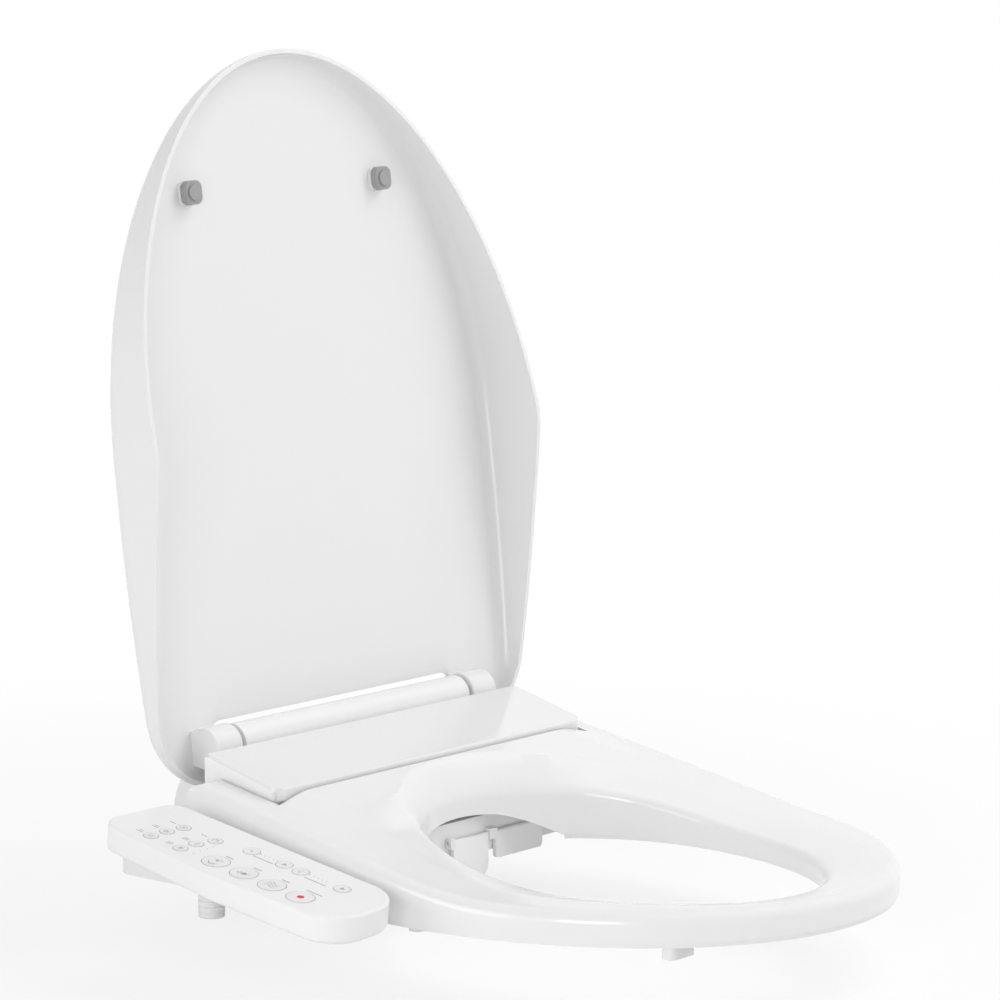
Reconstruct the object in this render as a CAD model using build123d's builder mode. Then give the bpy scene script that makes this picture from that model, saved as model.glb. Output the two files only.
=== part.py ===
from build123d import *
import os
from math import cos, exp, hypot, log, pi, radians, sin, tanh

os.makedirs("parts", exist_ok=True)

# Electric bidet seat, in millimetres, shown with its lid open and its seat down.
# +Z is up, the front is towards -Y, and the control panel is on the -X side.
# The origin is midway between the two bowl bolts, on the rim of the bowl.

# Clearances
GAP = 0.3  # between pieces that move past each other
SOFT_EDGE = 1.0
RUNNING = 0.05  # around a pin that turns in its bore
KEY_GAP = 0.25  # around a key cap

# Lid hinge and seat pivot, both along X
HINGE_Y = -35.0
HINGE_Z = 86.0
PIVOT_Y = -66.0
PIVOT_Z = 58.0

# Base housings
WALL = 3.0
BASE_BOTTOM = 1.0
BASE_FLOOR = 4.0
BASE_SEAM = 26.0
BASE_NOSE = -128.0  # front of the lower housing, under the seat
BASE_FRONT = -112.0  # front wall of the upper housing
BASE_REAR = 20.0
BASE_HALF = 155.0  # between the seat's arms
SHOULDER_OUT = 15.0
SHOULDER_HALF = BASE_HALF + SHOULDER_OUT
SHOULDER_FRONT = -49.0
SHOULDER_TOP = 36.0
REAR_EDGE_Z = 33.0
REAR_CORNER = 15.0
NOSE_CORNER = 6.0
RIDGE_RADIUS = 13.0
RIDGE_HALF = 113.0
RIDGE_BACK_Z = 80.0
REAR_BULGE = 8.0
POCKET_FRONT = -50.0
EAR_ROOM = 40.0  # radius swept clear for the lid's rear corners

# Sloping cover
COVER_FRONT = -115.5
COVER_FRONT_Z = 72.0
COVER_REAR = -54.0
COVER_REAR_Z = 88.0
COVER_THICK = 3.1
COVER_LIP = 8.0
COVER_CORNER = 8.0
COVER_LEDGE = 9.0
COVER_EDGE = 2.5
WINDOW_EDGE = 21.0

# Mounting plate
BOLT_SPACING = 140.0
BOLT_SLOT = 26.0
BOLT_RADIUS = 4.5
PLATE_HALF = 95.0
PLATE_FRONT = -40.0
PLATE_REAR = 15.0
PLATE_THICK = 6.0
PLATE_CORNER = 10.0
BOLT_HEAD_STEP = 3.0

# Seat: its arms stand clear of the base, and its ring is a little wider
ARM_GAP = 2.5
ARM_WIDTH = 18.5
ARM_INNER = BASE_HALF + ARM_GAP
ARM_HALF = ARM_INNER + ARM_WIDTH
SEAT_BULGE = 7.0
SEAT_HALF = ARM_HALF + SEAT_BULGE
SEAT_WIDEST = -235.0
SEAT_FRONT = -458.0
SEAT_BOTTOM = 8.0
SEAT_SEAM = 11.0
SEAT_CREST = 30.0
SEAT_RISE = 0.19  # slope of the side edges towards the hinge
SEAT_RISE_FROM = -285.0
SEAT_BLEND = 15.0
SEAT_CROWN = 7.0
SEAT_CROWN_FROM = -200.0
SEAT_CROWN_HALF = 120.0  # where the crown starts to fall towards the arms
SEAT_DISH_FRONT = 8.0
SEAT_DISH_REAR = 23.0
SEAT_DISH_WIDTH = 40.0
SEAT_DISH_WIDTH_REAR = 24.0
SEAT_DISH_SLOPE = 0.3
SEAT_DISH_LIMIT = 2.0
SKIN_SPARE = 13.0  # how far the skins run past the outline
SKIN_ACROSS = 30
SKIN_ALONG = 40
SEAT_EDGE_RADIUS = 8.0
SEAT_LIP_RADIUS = 5.0
SEAT_STEP_FRONT = -165.0  # where the underside starts to climb
SEAT_STEP_REAR = -140.0
SEAT_STEP_Z = 28.0
SEAT_STEP_CLIMB = 9.0
OPENING_HALF = 109.0
OPENING_MIDDLE = -258.0
FRONT_WIDTH = 42.0
OPENING_FRONT = SEAT_FRONT + FRONT_WIDTH
OPENING_REAR = -134.0
ARM_RADIUS = 14.0
SEAT_PIN_RADIUS = 6.0
SEAT_PIN_DEPTH = 14.5
SEAT_PIN_SLACK = 0.5
SEAT_PIN_END = ARM_INNER + SEAT_PIN_DEPTH - SEAT_PIN_SLACK
SEAT_DAMPER_RADIUS = 9.5
SEAT_DAMPER_LENGTH = 40.0
SEAT_BOSS = 14.0
SEAT_BOSS_RADIUS = 10.0
BRIDGE_GAP = 1.0  # between the cover and the seat behind the opening
SEAT_WALL = 4.0
SEAT_STEP_IN = 1.5
PAD_FRONT_X = 105.0
PAD_FRONT_IN = 58.0
PAD_ROUND = 4.0
PAD_SIDE_IN = 33.0
PAD_LENGTH = 24.0
PAD_WIDTH = 10.0
HEATER_FILM = 0.6
SEAT_CAVITY_TOP = 18.5

# Lid, in its own frame: across, up from the hinge, and forward of the hinge
LID_LEAN = 7.3  # degrees past upright when open
LID_SIDE_OVERHANG = 9.0
LID_HALF = SEAT_HALF + LID_SIDE_OVERHANG
LID_WIDEST = 185.0
LID_FRONT_OVERHANG = 33.0
LID_REACH = HINGE_Y - SEAT_FRONT + LID_FRONT_OVERHANG
LID_REAR = -26.0
LID_NARROWING = 13.0
LID_REAR_HALF = LID_HALF - LID_NARROWING
LID_CORNER = 54.0
LID_DOME = 22.0
LID_BACK = 13.5
LID_DEPTH = 42.0
LID_WALL = 3.2
RIM_REAR_DEPTH = -5.0
RIM_HINGE = 22.0
RIM_HINGE_DEPTH = 5.0
RIM_KINK = 188.0
RIM_KINK_DEPTH = 36.5
RIM_KINK_RADIUS = 14.0
RIM_TIP_DEPTH = -6.0
NOTCH_HALF = 124.0
NOTCH_TOP = 15.0
NOTCH_CORNER = 12.0
KNUCKLE_RADIUS = 14.0
KNUCKLE_INNER = 117.0
KNUCKLE_OUTER = 136.0
KNUCKLE_WEB = 12.0
LID_PIN_RADIUS = 5.0
DAMPER_RADIUS = 9.0
DAMPER_LENGTH = 58.0
BUMPER_X = 94.0
BUMPER_FROM_TIP = 93.0
BUMPER_UP = LID_REACH - BUMPER_FROM_TIP
BUMPER_WIDTH = 16.0
BUMPER_LENGTH = 17.0
BUMPER_POST = 3.0
BUMPER_TIP = 6.5
BUMPER_NUB = 1.5
BUMPER_ROUND = BUMPER_WIDTH / 3
BUMPER_STEP = 0.5  # the soft tip is this much smaller than its post all round

# Nozzle, its gate and the dryer flap
NOZZLE_X = 16.5
NOZZLE_SLOPE = 30.0
NOZZLE_MOUTH_Z = -3.0
NOZZLE_RADIUS = 6.5
NOZZLE_START = 10.0
NOZZLE_END = 121.0
NOZZLE_TIP_ROUND = 6.0
CRADLE_WALL = 2.5
CRADLE_START = 5.0
CRADLE_END = 118.0
CRADLE_OPEN = 1.5
RACK_MODULE = 1.0
RACK_HALF = 2.5
RACK_START = 36.0
RACK_TEETH = 25
RACK_PITCH_UP = 8.4
PINION_AT = 44.0
PINION_TEETH = 14
PINION_HALF = 3.5
PINION_SHAFT = 1.5
TOOTH_HALF = 0.63
TOOTH_TIP_HALF = 0.3
TOOTH_ADDENDUM = 0.9
TOOTH_DEDENDUM = 1.1
MOTOR_RADIUS = 10.5
MOTOR_LENGTH = 18.0
MOTOR_EAR = 2.5
EAR_HALF = 7.5
MOTOR_AT = 11.5
MOTOR_SHAFT_DEPTH = 7.5
POST_Y = -66.0
POST_SIZE = 10.0
POST_TOP = 32.0
SPRAY_HOLES = 3
SPRAY_FROM = 8.0
SPRAY_STEP = 4.0
SPRAY_RADIUS = 0.6
GATE_WIDTH = 36.0
FLAP_WIDTH = 49.0
FLAP_THICK = 3.0
FLAP_AXIS_Y = -130.0
FLAP_AXIS_Z = 13.0
GATE_BOTTOM = -17.0
FLAP_BOTTOM = -5.0
FLAP_PIN = 1.2
FLAP_PIN_LENGTH = 3.0
LUG_HALF = 3.5
GATE_CORNER = 12.0
MOUTH_IN = 2.0
MOUTH_LENGTH = 41.0
MOUTH_TOP = 12.0
LUG_FRONT = -133.0
LUGS = ((-3.8, 4.0), (38.5, 7.4), (93.8, 4.0))  # middle and width of each lug

# Dryer
FAN_X = 67.0
FAN_Y = -45.0
FAN_RADIUS = 27.0
FAN_BOTTOM = 10.0
FAN_TOP = 32.0
FAN_WALL = 2.0
FAN_OUTLET_HALF = 17.0
FAN_OUTLET_Y = -74.0
FAN_OUTLET_HIGH = 13.0
IMPELLER_RADIUS = 21.0
IMPELLER_HUB = 7.0
IMPELLER_BLADES = 16
IMPELLER_BOTTOM = 14.0
IMPELLER_TOP = 28.0
IMPELLER_PLATE = 1.5
IMPELLER_BLADE = 1.2
IMPELLER_RIM = 0.8
FAN_PIN = 2.5
DUCT_WALL = 1.5
DUCT_HALF = 21.0
DUCT_LOW = 4.0
DUCT_HIGH = 12.5
HEATER_BARS = 3
HEATER_DEPTH = 5.0
HEATER_FRAME = 1.0

# Water and power
TANK_Y = -74.0
TANK_WIDTH = 60.0
TANK_LENGTH = 52.0
TANK_HEIGHT = 40.0
TANK_NIPPLE = 4.0
BOARD_IN = 39.0
BOARD_X = BOARD_IN - BASE_HALF
TANK_FROM_BOARD = 71.0
TANK_X = BOARD_X + TANK_FROM_BOARD
BOARD_Y = -78.0
BOARD_WIDTH = 62.0
BOARD_LENGTH = 54.0
BOARD_THICK = 1.6
BOARD_POST = 3.0
TRANSFORMER_SIZE = 34.0
INLET_Y = -32.0
INLET_Z = 15.0
INLET_RADIUS = 10.2
INLET_BORE = 6.5
INLET_OUT = 18.0
INLET_FLANGE = 10.9
INLET_NECK = 9.0
INLET_GROOVE = 2.5  # neck between the housing and the threaded end
VALVE_WIDTH = 30.0
VALVE_LENGTH = 22.0
VALVE_HEIGHT = 21.5
VALVE_COIL = 4.0
GLAND_IN = 50.0
GLAND_X = GLAND_IN - SHOULDER_HALF
GLAND_Z = 14.0
GLAND_RADIUS = 7.0
GLAND_BORE = 4.0
GLAND_OUT = 8.0
RELEASE_Y = -5.0
RELEASE_Z = 13.0
RELEASE_WIDTH = 18.0
RELEASE_HEIGHT = 11.0
RELEASE_PROUD = 3.5
RELEASE_FLANGE = 1.5

# Control panel, on its own sloping plane: along towards the front, then across towards the seat
PANEL_STAND = 46.0  # from the seat's side to the middle of the panel
PANEL_X = -SEAT_HALF - PANEL_STAND
PANEL_Y = -157.5
PANEL_Z = 46.0
PANEL_PITCH = 9.3
PANEL_ROLL = 3.5
PANEL_FRONT = 104.0
PANEL_REAR = -105.0
PANEL_INNER = 34.0
PANEL_OUTER = -34.5
PANEL_REAR_TAPER = 8.0
PANEL_FRONT_TAPER = 3.0
PANEL_REAR_CORNER = 14.0
PANEL_FRONT_CORNER = 27.0
PANEL_SKIN = 2.4
PANEL_WALL = 2.2
PANEL_SEAM = 11.0
PANEL_DEPTH = 19.0
PANEL_EDGE = 2.0
PANEL_KEEL = 4.0
PANEL_BOARD_TOP = 7.6
PANEL_POST = 3.5
PANEL_POST_PITCH = 120.0
PANEL_ARM_LOW = 16.0
ARM_REAR = -18.0
ARM_FRONT = -100.0
ARM_CLEAR = 6.0
ARM_INSIDE = -ARM_HALF - ARM_CLEAR
ARM_TUCK = 4.0
ARM_OUTSIDE = PANEL_X + ARM_TUCK
ARM_STEP = 7.0
ARM_TAPER = 25.0
FOOT_IN = 15.0
FOOT_X = PANEL_X + FOOT_IN
FOOT_Y = -112.0
FOOT_RADIUS = 8.5
KEY_PROUD = 0.2
KEY_FLANGE = 0.9
KEY_FLANGE_THICK = 1.2
KEY_STEM = 2.0
KEY_TRAVEL = 0.8
LARGE_KEY = 8.8
SMALL_KEY = 5.3
ICON_KEY = 4.6
KEYS = {
    "key_wash_rear": (-10.0, -17.5, LARGE_KEY),
    "key_wash_front": (14.0, -17.5, LARGE_KEY),
    "key_dry": (38.0, -17.5, LARGE_KEY),
    "key_stop": (62.0, -17.5, LARGE_KEY),
    "key_pressure_less": (-8.0, 12.5, SMALL_KEY),
    "key_pressure_more": (20.0, 12.5, SMALL_KEY),
    "key_nozzle_back": (34.0, 12.5, SMALL_KEY),
    "key_nozzle_front": (69.0, 12.5, SMALL_KEY),
    "key_seat_heat": (-65.0, -19.5, ICON_KEY),
    "key_water_heat": (-64.0, -6.5, ICON_KEY),
    "key_air_heat": (-62.0, 6.5, ICON_KEY),
    "key_light": (-39.0, -19.5, ICON_KEY),
    "key_saving": (-38.0, -6.5, ICON_KEY),
    "key_power": (-34.0, 6.5, ICON_KEY),
}

# Planes that pieces are drawn on
lean = radians(LID_LEAN)
lid_plane = Plane((0, HINGE_Y, HINGE_Z), x_dir=(1, 0, 0), z_dir=(0, -cos(lean), sin(lean)))
lid_side = Plane((0, HINGE_Y, HINGE_Z), x_dir=(0, sin(lean), cos(lean)), z_dir=(1, 0, 0))
slope = radians(NOZZLE_SLOPE)
nozzle_mouth = (NOZZLE_X, BASE_NOSE, NOZZLE_MOUTH_Z)
nozzle_plane = Plane(nozzle_mouth, x_dir=(1, 0, 0), z_dir=(0, cos(slope), sin(slope)))
nozzle_side = Plane(nozzle_mouth, x_dir=(0, cos(slope), sin(slope)), z_dir=(1, 0, 0))
pitch = radians(PANEL_PITCH)
roll = radians(PANEL_ROLL)
panel_plane = Plane(
    (PANEL_X, PANEL_Y, PANEL_Z),
    x_dir=(0, -cos(pitch), -sin(pitch)),
    z_dir=(-sin(roll), -sin(pitch) * cos(roll), cos(pitch) * cos(roll)),
)
panel_underside = panel_plane.offset(-PANEL_DEPTH)
cover_slope = (COVER_REAR_Z - COVER_FRONT_Z) / (COVER_REAR - COVER_FRONT)
FAR = 600.0  # longer than any piece, for cuts that run right through


def cover_under(y):
    """Height of the cover's underside."""
    return COVER_FRONT_Z + cover_slope * (y - COVER_FRONT) - COVER_THICK


def draw_egg(half, widest, front, rear_half, rear, corner):
    """An egg outline: half an ellipse in front, sides that narrow to a straight rear."""
    towards_rear = 1 if rear > widest else -1
    with BuildLine() as egg:
        first = 180 if front < widest else 0
        EllipticalCenterArc((0, widest), half, abs(front - widest), start_angle=first, arc_size=180)
        for side in (-1, 1):
            TangentArc((side * half, widest), (side * rear_half, rear), tangent=(0, towards_rear))
        Line((-rear_half, rear), (rear_half, rear))
    outline = make_face(egg.edges())
    if corner > 0:
        fillet(outline.vertices().filter_by_position(Axis.Y, rear - 0.01, rear + 0.01), corner)


def draw_opening(grow, mode):
    """The seat's opening, from two half ellipses."""
    with BuildLine() as opening:
        front = OPENING_MIDDLE - OPENING_FRONT + grow
        rear = OPENING_REAR - OPENING_MIDDLE + grow
        EllipticalCenterArc((0, OPENING_MIDDLE), OPENING_HALF + grow, front, start_angle=180, arc_size=180)
        EllipticalCenterArc((0, OPENING_MIDDLE), OPENING_HALF + grow, rear, start_angle=0, arc_size=180)
    make_face(opening.edges(), mode=mode)


def draw_panel(inset):
    """The control panel's boat-shaped outline."""
    with BuildLine() as boat:
        Polyline(
            (PANEL_REAR, PANEL_OUTER + PANEL_REAR_TAPER),
            (PANEL_REAR + PANEL_REAR_TAPER, PANEL_INNER),
            (PANEL_FRONT, PANEL_INNER),
            (PANEL_FRONT, PANEL_OUTER + PANEL_FRONT_TAPER),
            (0, PANEL_OUTER),
            close=True,
        )
    outline = make_face(boat.edges())
    outline = fillet(outline.vertices().sort_by(Axis.X)[:2], PANEL_REAR_CORNER)
    fillet(outline.vertices().sort_by(Axis.X)[-2:], PANEL_FRONT_CORNER)
    if inset > 0:
        offset(amount=-inset, mode=Mode.REPLACE)


def draw_base(front, inset):
    """The base's plan: a nose between the seat's arms, and wider shoulders behind."""
    nose = SHOULDER_FRONT - front
    with Locations((0, SHOULDER_FRONT - nose / 2 + inset)):
        RectangleRounded(2 * (BASE_HALF - inset), nose, NOSE_CORNER - inset)
    with Locations((0, SHOULDER_FRONT + inset)):
        Rectangle(2 * (BASE_HALF - inset), 2 * NOSE_CORNER)
    draw_shoulders(inset)


def draw_shoulders(inset):
    """The rear of the base's plan, with rounded rear corners."""
    length = BASE_REAR - SHOULDER_FRONT - 2 * inset
    with Locations((0, (BASE_REAR + SHOULDER_FRONT) / 2)):
        shoulders = Rectangle(2 * (SHOULDER_HALF - inset), length)
    fillet(shoulders.vertices().group_by(Axis.Y)[-1], REAR_CORNER - inset)


def tooth(root, pitch_line, tip):
    """Half a gear tooth's widths, root then tip, with straight flanks through the pitch line."""
    flare = (TOOTH_HALF - TOOTH_TIP_HALF) / (tip - pitch_line)
    return TOOTH_HALF + flare * (pitch_line - root), TOOTH_TIP_HALF


def lid_dome(inset):
    """The lid as a solid dome, its outer skin drawn in by the inset."""
    with BuildPart() as dome:
        with BuildSketch(lid_plane.offset(inset - LID_BACK)):
            draw_egg(
                LID_HALF - inset,
                LID_WIDEST,
                LID_REACH - inset,
                LID_REAR_HALF - inset,
                LID_REAR + inset,
                LID_CORNER - inset,
            )
        extrude(amount=LID_BACK - inset + LID_DEPTH)
        back = dome.faces().sort_by(Axis(lid_plane.origin, lid_plane.z_dir))[0]
        fillet(back.edges(), LID_DOME - inset)
    return dome.part


def ramp(low, high, value):
    """0 below low, 1 above high, with a smooth climb between."""
    share = min(max((value - low) / (high - low), 0.0), 1.0)
    return share**3 * (10 - 15 * share + 6 * share**2)


def seat_top_height(x, y):
    """The seat's upper skin before it is dished: level in front, climbing to the hinge, crowned behind."""
    climb = SEAT_RISE * SEAT_BLEND * log(1 + exp((y - SEAT_RISE_FROM) / SEAT_BLEND))
    crown = 1 - ramp(SEAT_CROWN_HALF, ARM_HALF, abs(x))
    return SEAT_CREST + climb + SEAT_CROWN * crown * ramp(SEAT_CROWN_FROM, OPENING_REAR, y)


def seat_dish_height(x, y):
    """The dished skin round the opening, which rises clear of the seat further out."""
    reach = OPENING_MIDDLE - OPENING_FRONT if y < OPENING_MIDDLE else OPENING_REAR - OPENING_MIDDLE
    ratio = max(hypot(x / OPENING_HALF, (y - OPENING_MIDDLE) / reach), 0.01)
    from_lip = hypot(x, y - OPENING_MIDDLE) * (1 - 1 / ratio)
    behind = ramp(SEAT_CROWN_FROM, OPENING_REAR, y)
    width = SEAT_DISH_WIDTH + (SEAT_DISH_WIDTH_REAR - SEAT_DISH_WIDTH) * behind
    nearness = SEAT_DISH_LIMIT * tanh((1 - from_lip / width) / SEAT_DISH_LIMIT)
    depth = SEAT_DISH_FRONT + (SEAT_DISH_REAR - SEAT_DISH_FRONT) * behind
    curve = SEAT_DISH_SLOPE * nearness + (1 - SEAT_DISH_SLOPE) * max(nearness, 0.0) ** 2
    return seat_top_height(x, y) - depth * curve


def skin(height):
    """A smooth skin over the whole seat, from its height at each point."""
    half = SEAT_HALF + SKIN_SPARE
    front = SEAT_FRONT - SKIN_SPARE
    length = PIVOT_Y + 2 * ARM_RADIUS - front
    across = [half * (2 * i / SKIN_ACROSS - 1) for i in range(SKIN_ACROSS + 1)]
    along = [front + length * i / SKIN_ALONG for i in range(SKIN_ALONG + 1)]
    rows = [[Vector(x, y, height(x, y)) for y in along] for x in across]
    return Face.make_surface_from_array_of_points(rows)


# Seat: upper shell with the contoured skin, underside cover, heating film and bumpers
with BuildPart() as seat_top:
    with BuildSketch(Plane.XY.offset(SEAT_SEAM)):
        draw_egg(SEAT_HALF, SEAT_WIDEST, SEAT_FRONT, ARM_HALF, PIVOT_Y + ARM_RADIUS, 0)
    extrude(amount=HINGE_Z)
    extrude(skin(seat_top_height), amount=FAR, dir=(0, 0, 1), mode=Mode.SUBTRACT)
    crest = seat_top.faces().filter_by(GeomType.BSPLINE).sort_by(SortBy.AREA)[-1]
    fillet(crest.outer_wire().edges().filter_by_position(Axis.Y, SEAT_FRONT - 1, PIVOT_Y), SEAT_EDGE_RADIUS)
    with BuildSketch(Plane.XY):
        draw_opening(0, Mode.ADD)
    extrude(amount=FAR, mode=Mode.SUBTRACT)
    extrude(skin(seat_dish_height), amount=FAR, dir=(0, 0, 1), mode=Mode.SUBTRACT)
    lip = seat_top.edges().filter_by_position(Axis.Z, SEAT_SEAM + 1, HINGE_Z)
    lip = lip.filter_by_position(Axis.X, -1, 1)
    fillet(lip.filter_by_position(Axis.Y, OPENING_FRONT - 1, OPENING_REAR + 1), SEAT_LIP_RADIUS)
    # underside: level under the ring, climbing behind the opening and along the arms
    with BuildSketch(Plane.YZ):
        with BuildLine():
            Polyline(
                (SEAT_STEP_FRONT, 0),
                (SEAT_STEP_FRONT, SEAT_SEAM),
                (SEAT_STEP_REAR, SEAT_STEP_Z),
                (COVER_FRONT, SEAT_STEP_Z + SEAT_STEP_CLIMB),
                (PIVOT_Y, PIVOT_Z - ARM_RADIUS),
                (PIVOT_Y + 2 * ARM_RADIUS, PIVOT_Z - ARM_RADIUS),
                (PIVOT_Y + 2 * ARM_RADIUS, 0),
                close=True,
            )
        make_face()
    extrude(amount=FAR, both=True, mode=Mode.SUBTRACT)
    # bay between the arms, round the base and its cover
    with BuildSketch(Plane.YZ):
        with Locations(((COVER_FRONT + BRIDGE_GAP + FAR / 2), PIVOT_Z)):
            Rectangle(FAR, FAR)
        with Locations((PIVOT_Y, PIVOT_Z)):
            Circle(hypot(COVER_FRONT - PIVOT_Y, COVER_FRONT_Z - PIVOT_Z) + BRIDGE_GAP)
    extrude(amount=ARM_INNER, both=True, mode=Mode.SUBTRACT)
    # rounded arm ends and their pivot bores
    with BuildSketch(Plane.YZ):
        with Locations((PIVOT_Y + FAR / 2, PIVOT_Z)):
            Rectangle(FAR, FAR)
        with Locations((PIVOT_Y, PIVOT_Z)):
            Circle(ARM_RADIUS, mode=Mode.SUBTRACT)
    extrude(amount=FAR, both=True, mode=Mode.SUBTRACT)
    for side in (-1, 1):
        with Locations((side * (ARM_INNER + SEAT_PIN_DEPTH / 2), PIVOT_Y, PIVOT_Z)):
            Cylinder(SEAT_PIN_RADIUS + RUNNING, SEAT_PIN_DEPTH, rotation=(0, 90, 0), mode=Mode.SUBTRACT)
    # hollow over the heating film
    with BuildSketch(Plane.XY.offset(SEAT_SEAM)):
        draw_egg(
            SEAT_HALF - 2 * SEAT_WALL,
            SEAT_WIDEST,
            SEAT_FRONT + 2 * SEAT_WALL,
            ARM_HALF - 2 * SEAT_WALL,
            SEAT_STEP_FRONT - SEAT_WALL,
            0,
        )
        draw_opening(2 * SEAT_WALL, Mode.SUBTRACT)
    extrude(amount=SEAT_CAVITY_TOP - SEAT_SEAM, mode=Mode.SUBTRACT)
seat_top.part.label = "seat_top"
export_step(seat_top.part, "parts/seat_top.step")

with BuildPart() as seat_bottom:
    with BuildSketch(Plane.XY.offset(SEAT_BOTTOM)):
        draw_egg(
            SEAT_HALF - SEAT_STEP_IN,
            SEAT_WIDEST,
            SEAT_FRONT + SEAT_STEP_IN,
            SEAT_HALF - 2 * SEAT_STEP_IN,
            SEAT_STEP_FRONT,
            0,
        )
        draw_opening(SEAT_STEP_IN, Mode.SUBTRACT)
    extrude(amount=SEAT_SEAM - SEAT_BOTTOM)
seat_bottom.part.label = "seat_bottom"
export_step(seat_bottom.part, "parts/seat_bottom.step")

with BuildPart() as seat_heater_film:
    with BuildSketch(Plane.XY.offset(SEAT_CAVITY_TOP)):
        draw_egg(
            SEAT_HALF - 3 * SEAT_WALL,
            SEAT_WIDEST,
            SEAT_FRONT + 3 * SEAT_WALL,
            ARM_HALF - 3 * SEAT_WALL,
            SEAT_STEP_FRONT - 2 * SEAT_WALL,
            0,
        )
        draw_opening(3 * SEAT_WALL, Mode.SUBTRACT)
    extrude(amount=-HEATER_FILM)
seat_heater_film.part.label = "seat_heater_film"
export_step(seat_heater_film.part, "parts/seat_heater_film.step")

with BuildPart() as seat_bumpers:
    with BuildSketch(Plane.XY):
        for side in (-1, 1):
            front_pad = (side * PAD_FRONT_X, SEAT_FRONT + PAD_FRONT_IN)
            side_pad = (side * (SEAT_HALF - PAD_SIDE_IN), SEAT_WIDEST)
            with Locations(front_pad, side_pad):
                RectangleRounded(PAD_LENGTH, PAD_WIDTH, PAD_ROUND)
    extrude(amount=SEAT_BOTTOM)
seat_bumpers.part.label = "seat_bumpers"
export_step(seat_bumpers.part, "parts/seat_bumpers.step")

# Lid: domed shell with its knuckles, and the two bumpers inside it
lid_outer = lid_dome(0)
lid_inner = lid_dome(LID_WALL)

with BuildPart() as lid_knuckles:
    for side in (-1, 1):
        with Locations(lid_side.offset(side * (KNUCKLE_INNER + KNUCKLE_OUTER) / 2)):
            Cylinder(KNUCKLE_RADIUS, KNUCKLE_OUTER - KNUCKLE_INNER)
            with Locations((0, -LID_BACK / 2, 0)):
                Box(2 * KNUCKLE_WEB, LID_BACK, KNUCKLE_OUTER - KNUCKLE_INNER)
    add(lid_outer, mode=Mode.INTERSECT)

with BuildPart() as lid_shell:
    add(lid_outer)
    add(lid_inner, mode=Mode.SUBTRACT)
    with BuildSketch(lid_side):
        with BuildLine():
            Polyline(
                (2 * LID_REAR, RIM_REAR_DEPTH),
                (RIM_HINGE, RIM_HINGE_DEPTH),
                (RIM_KINK, RIM_KINK_DEPTH),
                (LID_REACH + LID_CORNER, RIM_TIP_DEPTH),
                (LID_REACH + LID_CORNER, 2 * LID_DEPTH),
                (2 * LID_REAR, 2 * LID_DEPTH),
                close=True,
            )
        above = make_face()
        fillet(above.vertices().filter_by_position(Axis.X, RIM_KINK - 1, RIM_KINK + 1), RIM_KINK_RADIUS)
    extrude(amount=FAR, both=True, mode=Mode.SUBTRACT)
    with BuildSketch(lid_plane):
        with Locations((0, NOTCH_TOP)):
            notch = Rectangle(2 * NOTCH_HALF, FAR, align=(Align.CENTER, Align.MAX))
        fillet(notch.vertices().group_by(Axis.Y)[-1], NOTCH_CORNER)
    extrude(amount=LID_DEPTH, both=True, mode=Mode.SUBTRACT)
    add(lid_knuckles.part)
    with BuildSketch(lid_side):
        Circle(LID_PIN_RADIUS + RUNNING)
    extrude(amount=KNUCKLE_OUTER + LID_WALL, both=True, mode=Mode.SUBTRACT)
lid_shell.part.label = "lid_shell"
export_step(lid_shell.part, "parts/lid_shell.step")

with BuildPart() as lid_bumper_posts:
    with BuildSketch(lid_plane.offset(LID_WALL - LID_BACK)):
        with Locations((-BUMPER_X, BUMPER_UP), (BUMPER_X, BUMPER_UP)):
            RectangleRounded(BUMPER_WIDTH, BUMPER_LENGTH, BUMPER_ROUND)
    extrude(amount=BUMPER_POST)
lid_bumper_posts.part.label = "lid_bumper_posts"
export_step(lid_bumper_posts.part, "parts/lid_bumper_posts.step")

with BuildPart() as lid_bumper_tips:
    with BuildSketch(lid_plane.offset(LID_WALL - LID_BACK + BUMPER_POST)):
        with Locations((-BUMPER_X, BUMPER_UP), (BUMPER_X, BUMPER_UP)):
            RectangleRounded(BUMPER_WIDTH - 2 * BUMPER_STEP, BUMPER_LENGTH - 2 * BUMPER_STEP, BUMPER_ROUND)
    extrude(amount=BUMPER_TIP - BUMPER_NUB)
    with BuildSketch(lid_plane.offset(LID_WALL - LID_BACK + BUMPER_POST + BUMPER_TIP - BUMPER_NUB)):
        with Locations((-BUMPER_X, BUMPER_UP), (BUMPER_X, BUMPER_UP)):
            Circle(BUMPER_ROUND)
    extrude(amount=BUMPER_NUB)
lid_bumper_tips.part.label = "lid_bumper_tips"
export_step(lid_bumper_tips.part, "parts/lid_bumper_tips.step")

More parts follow.
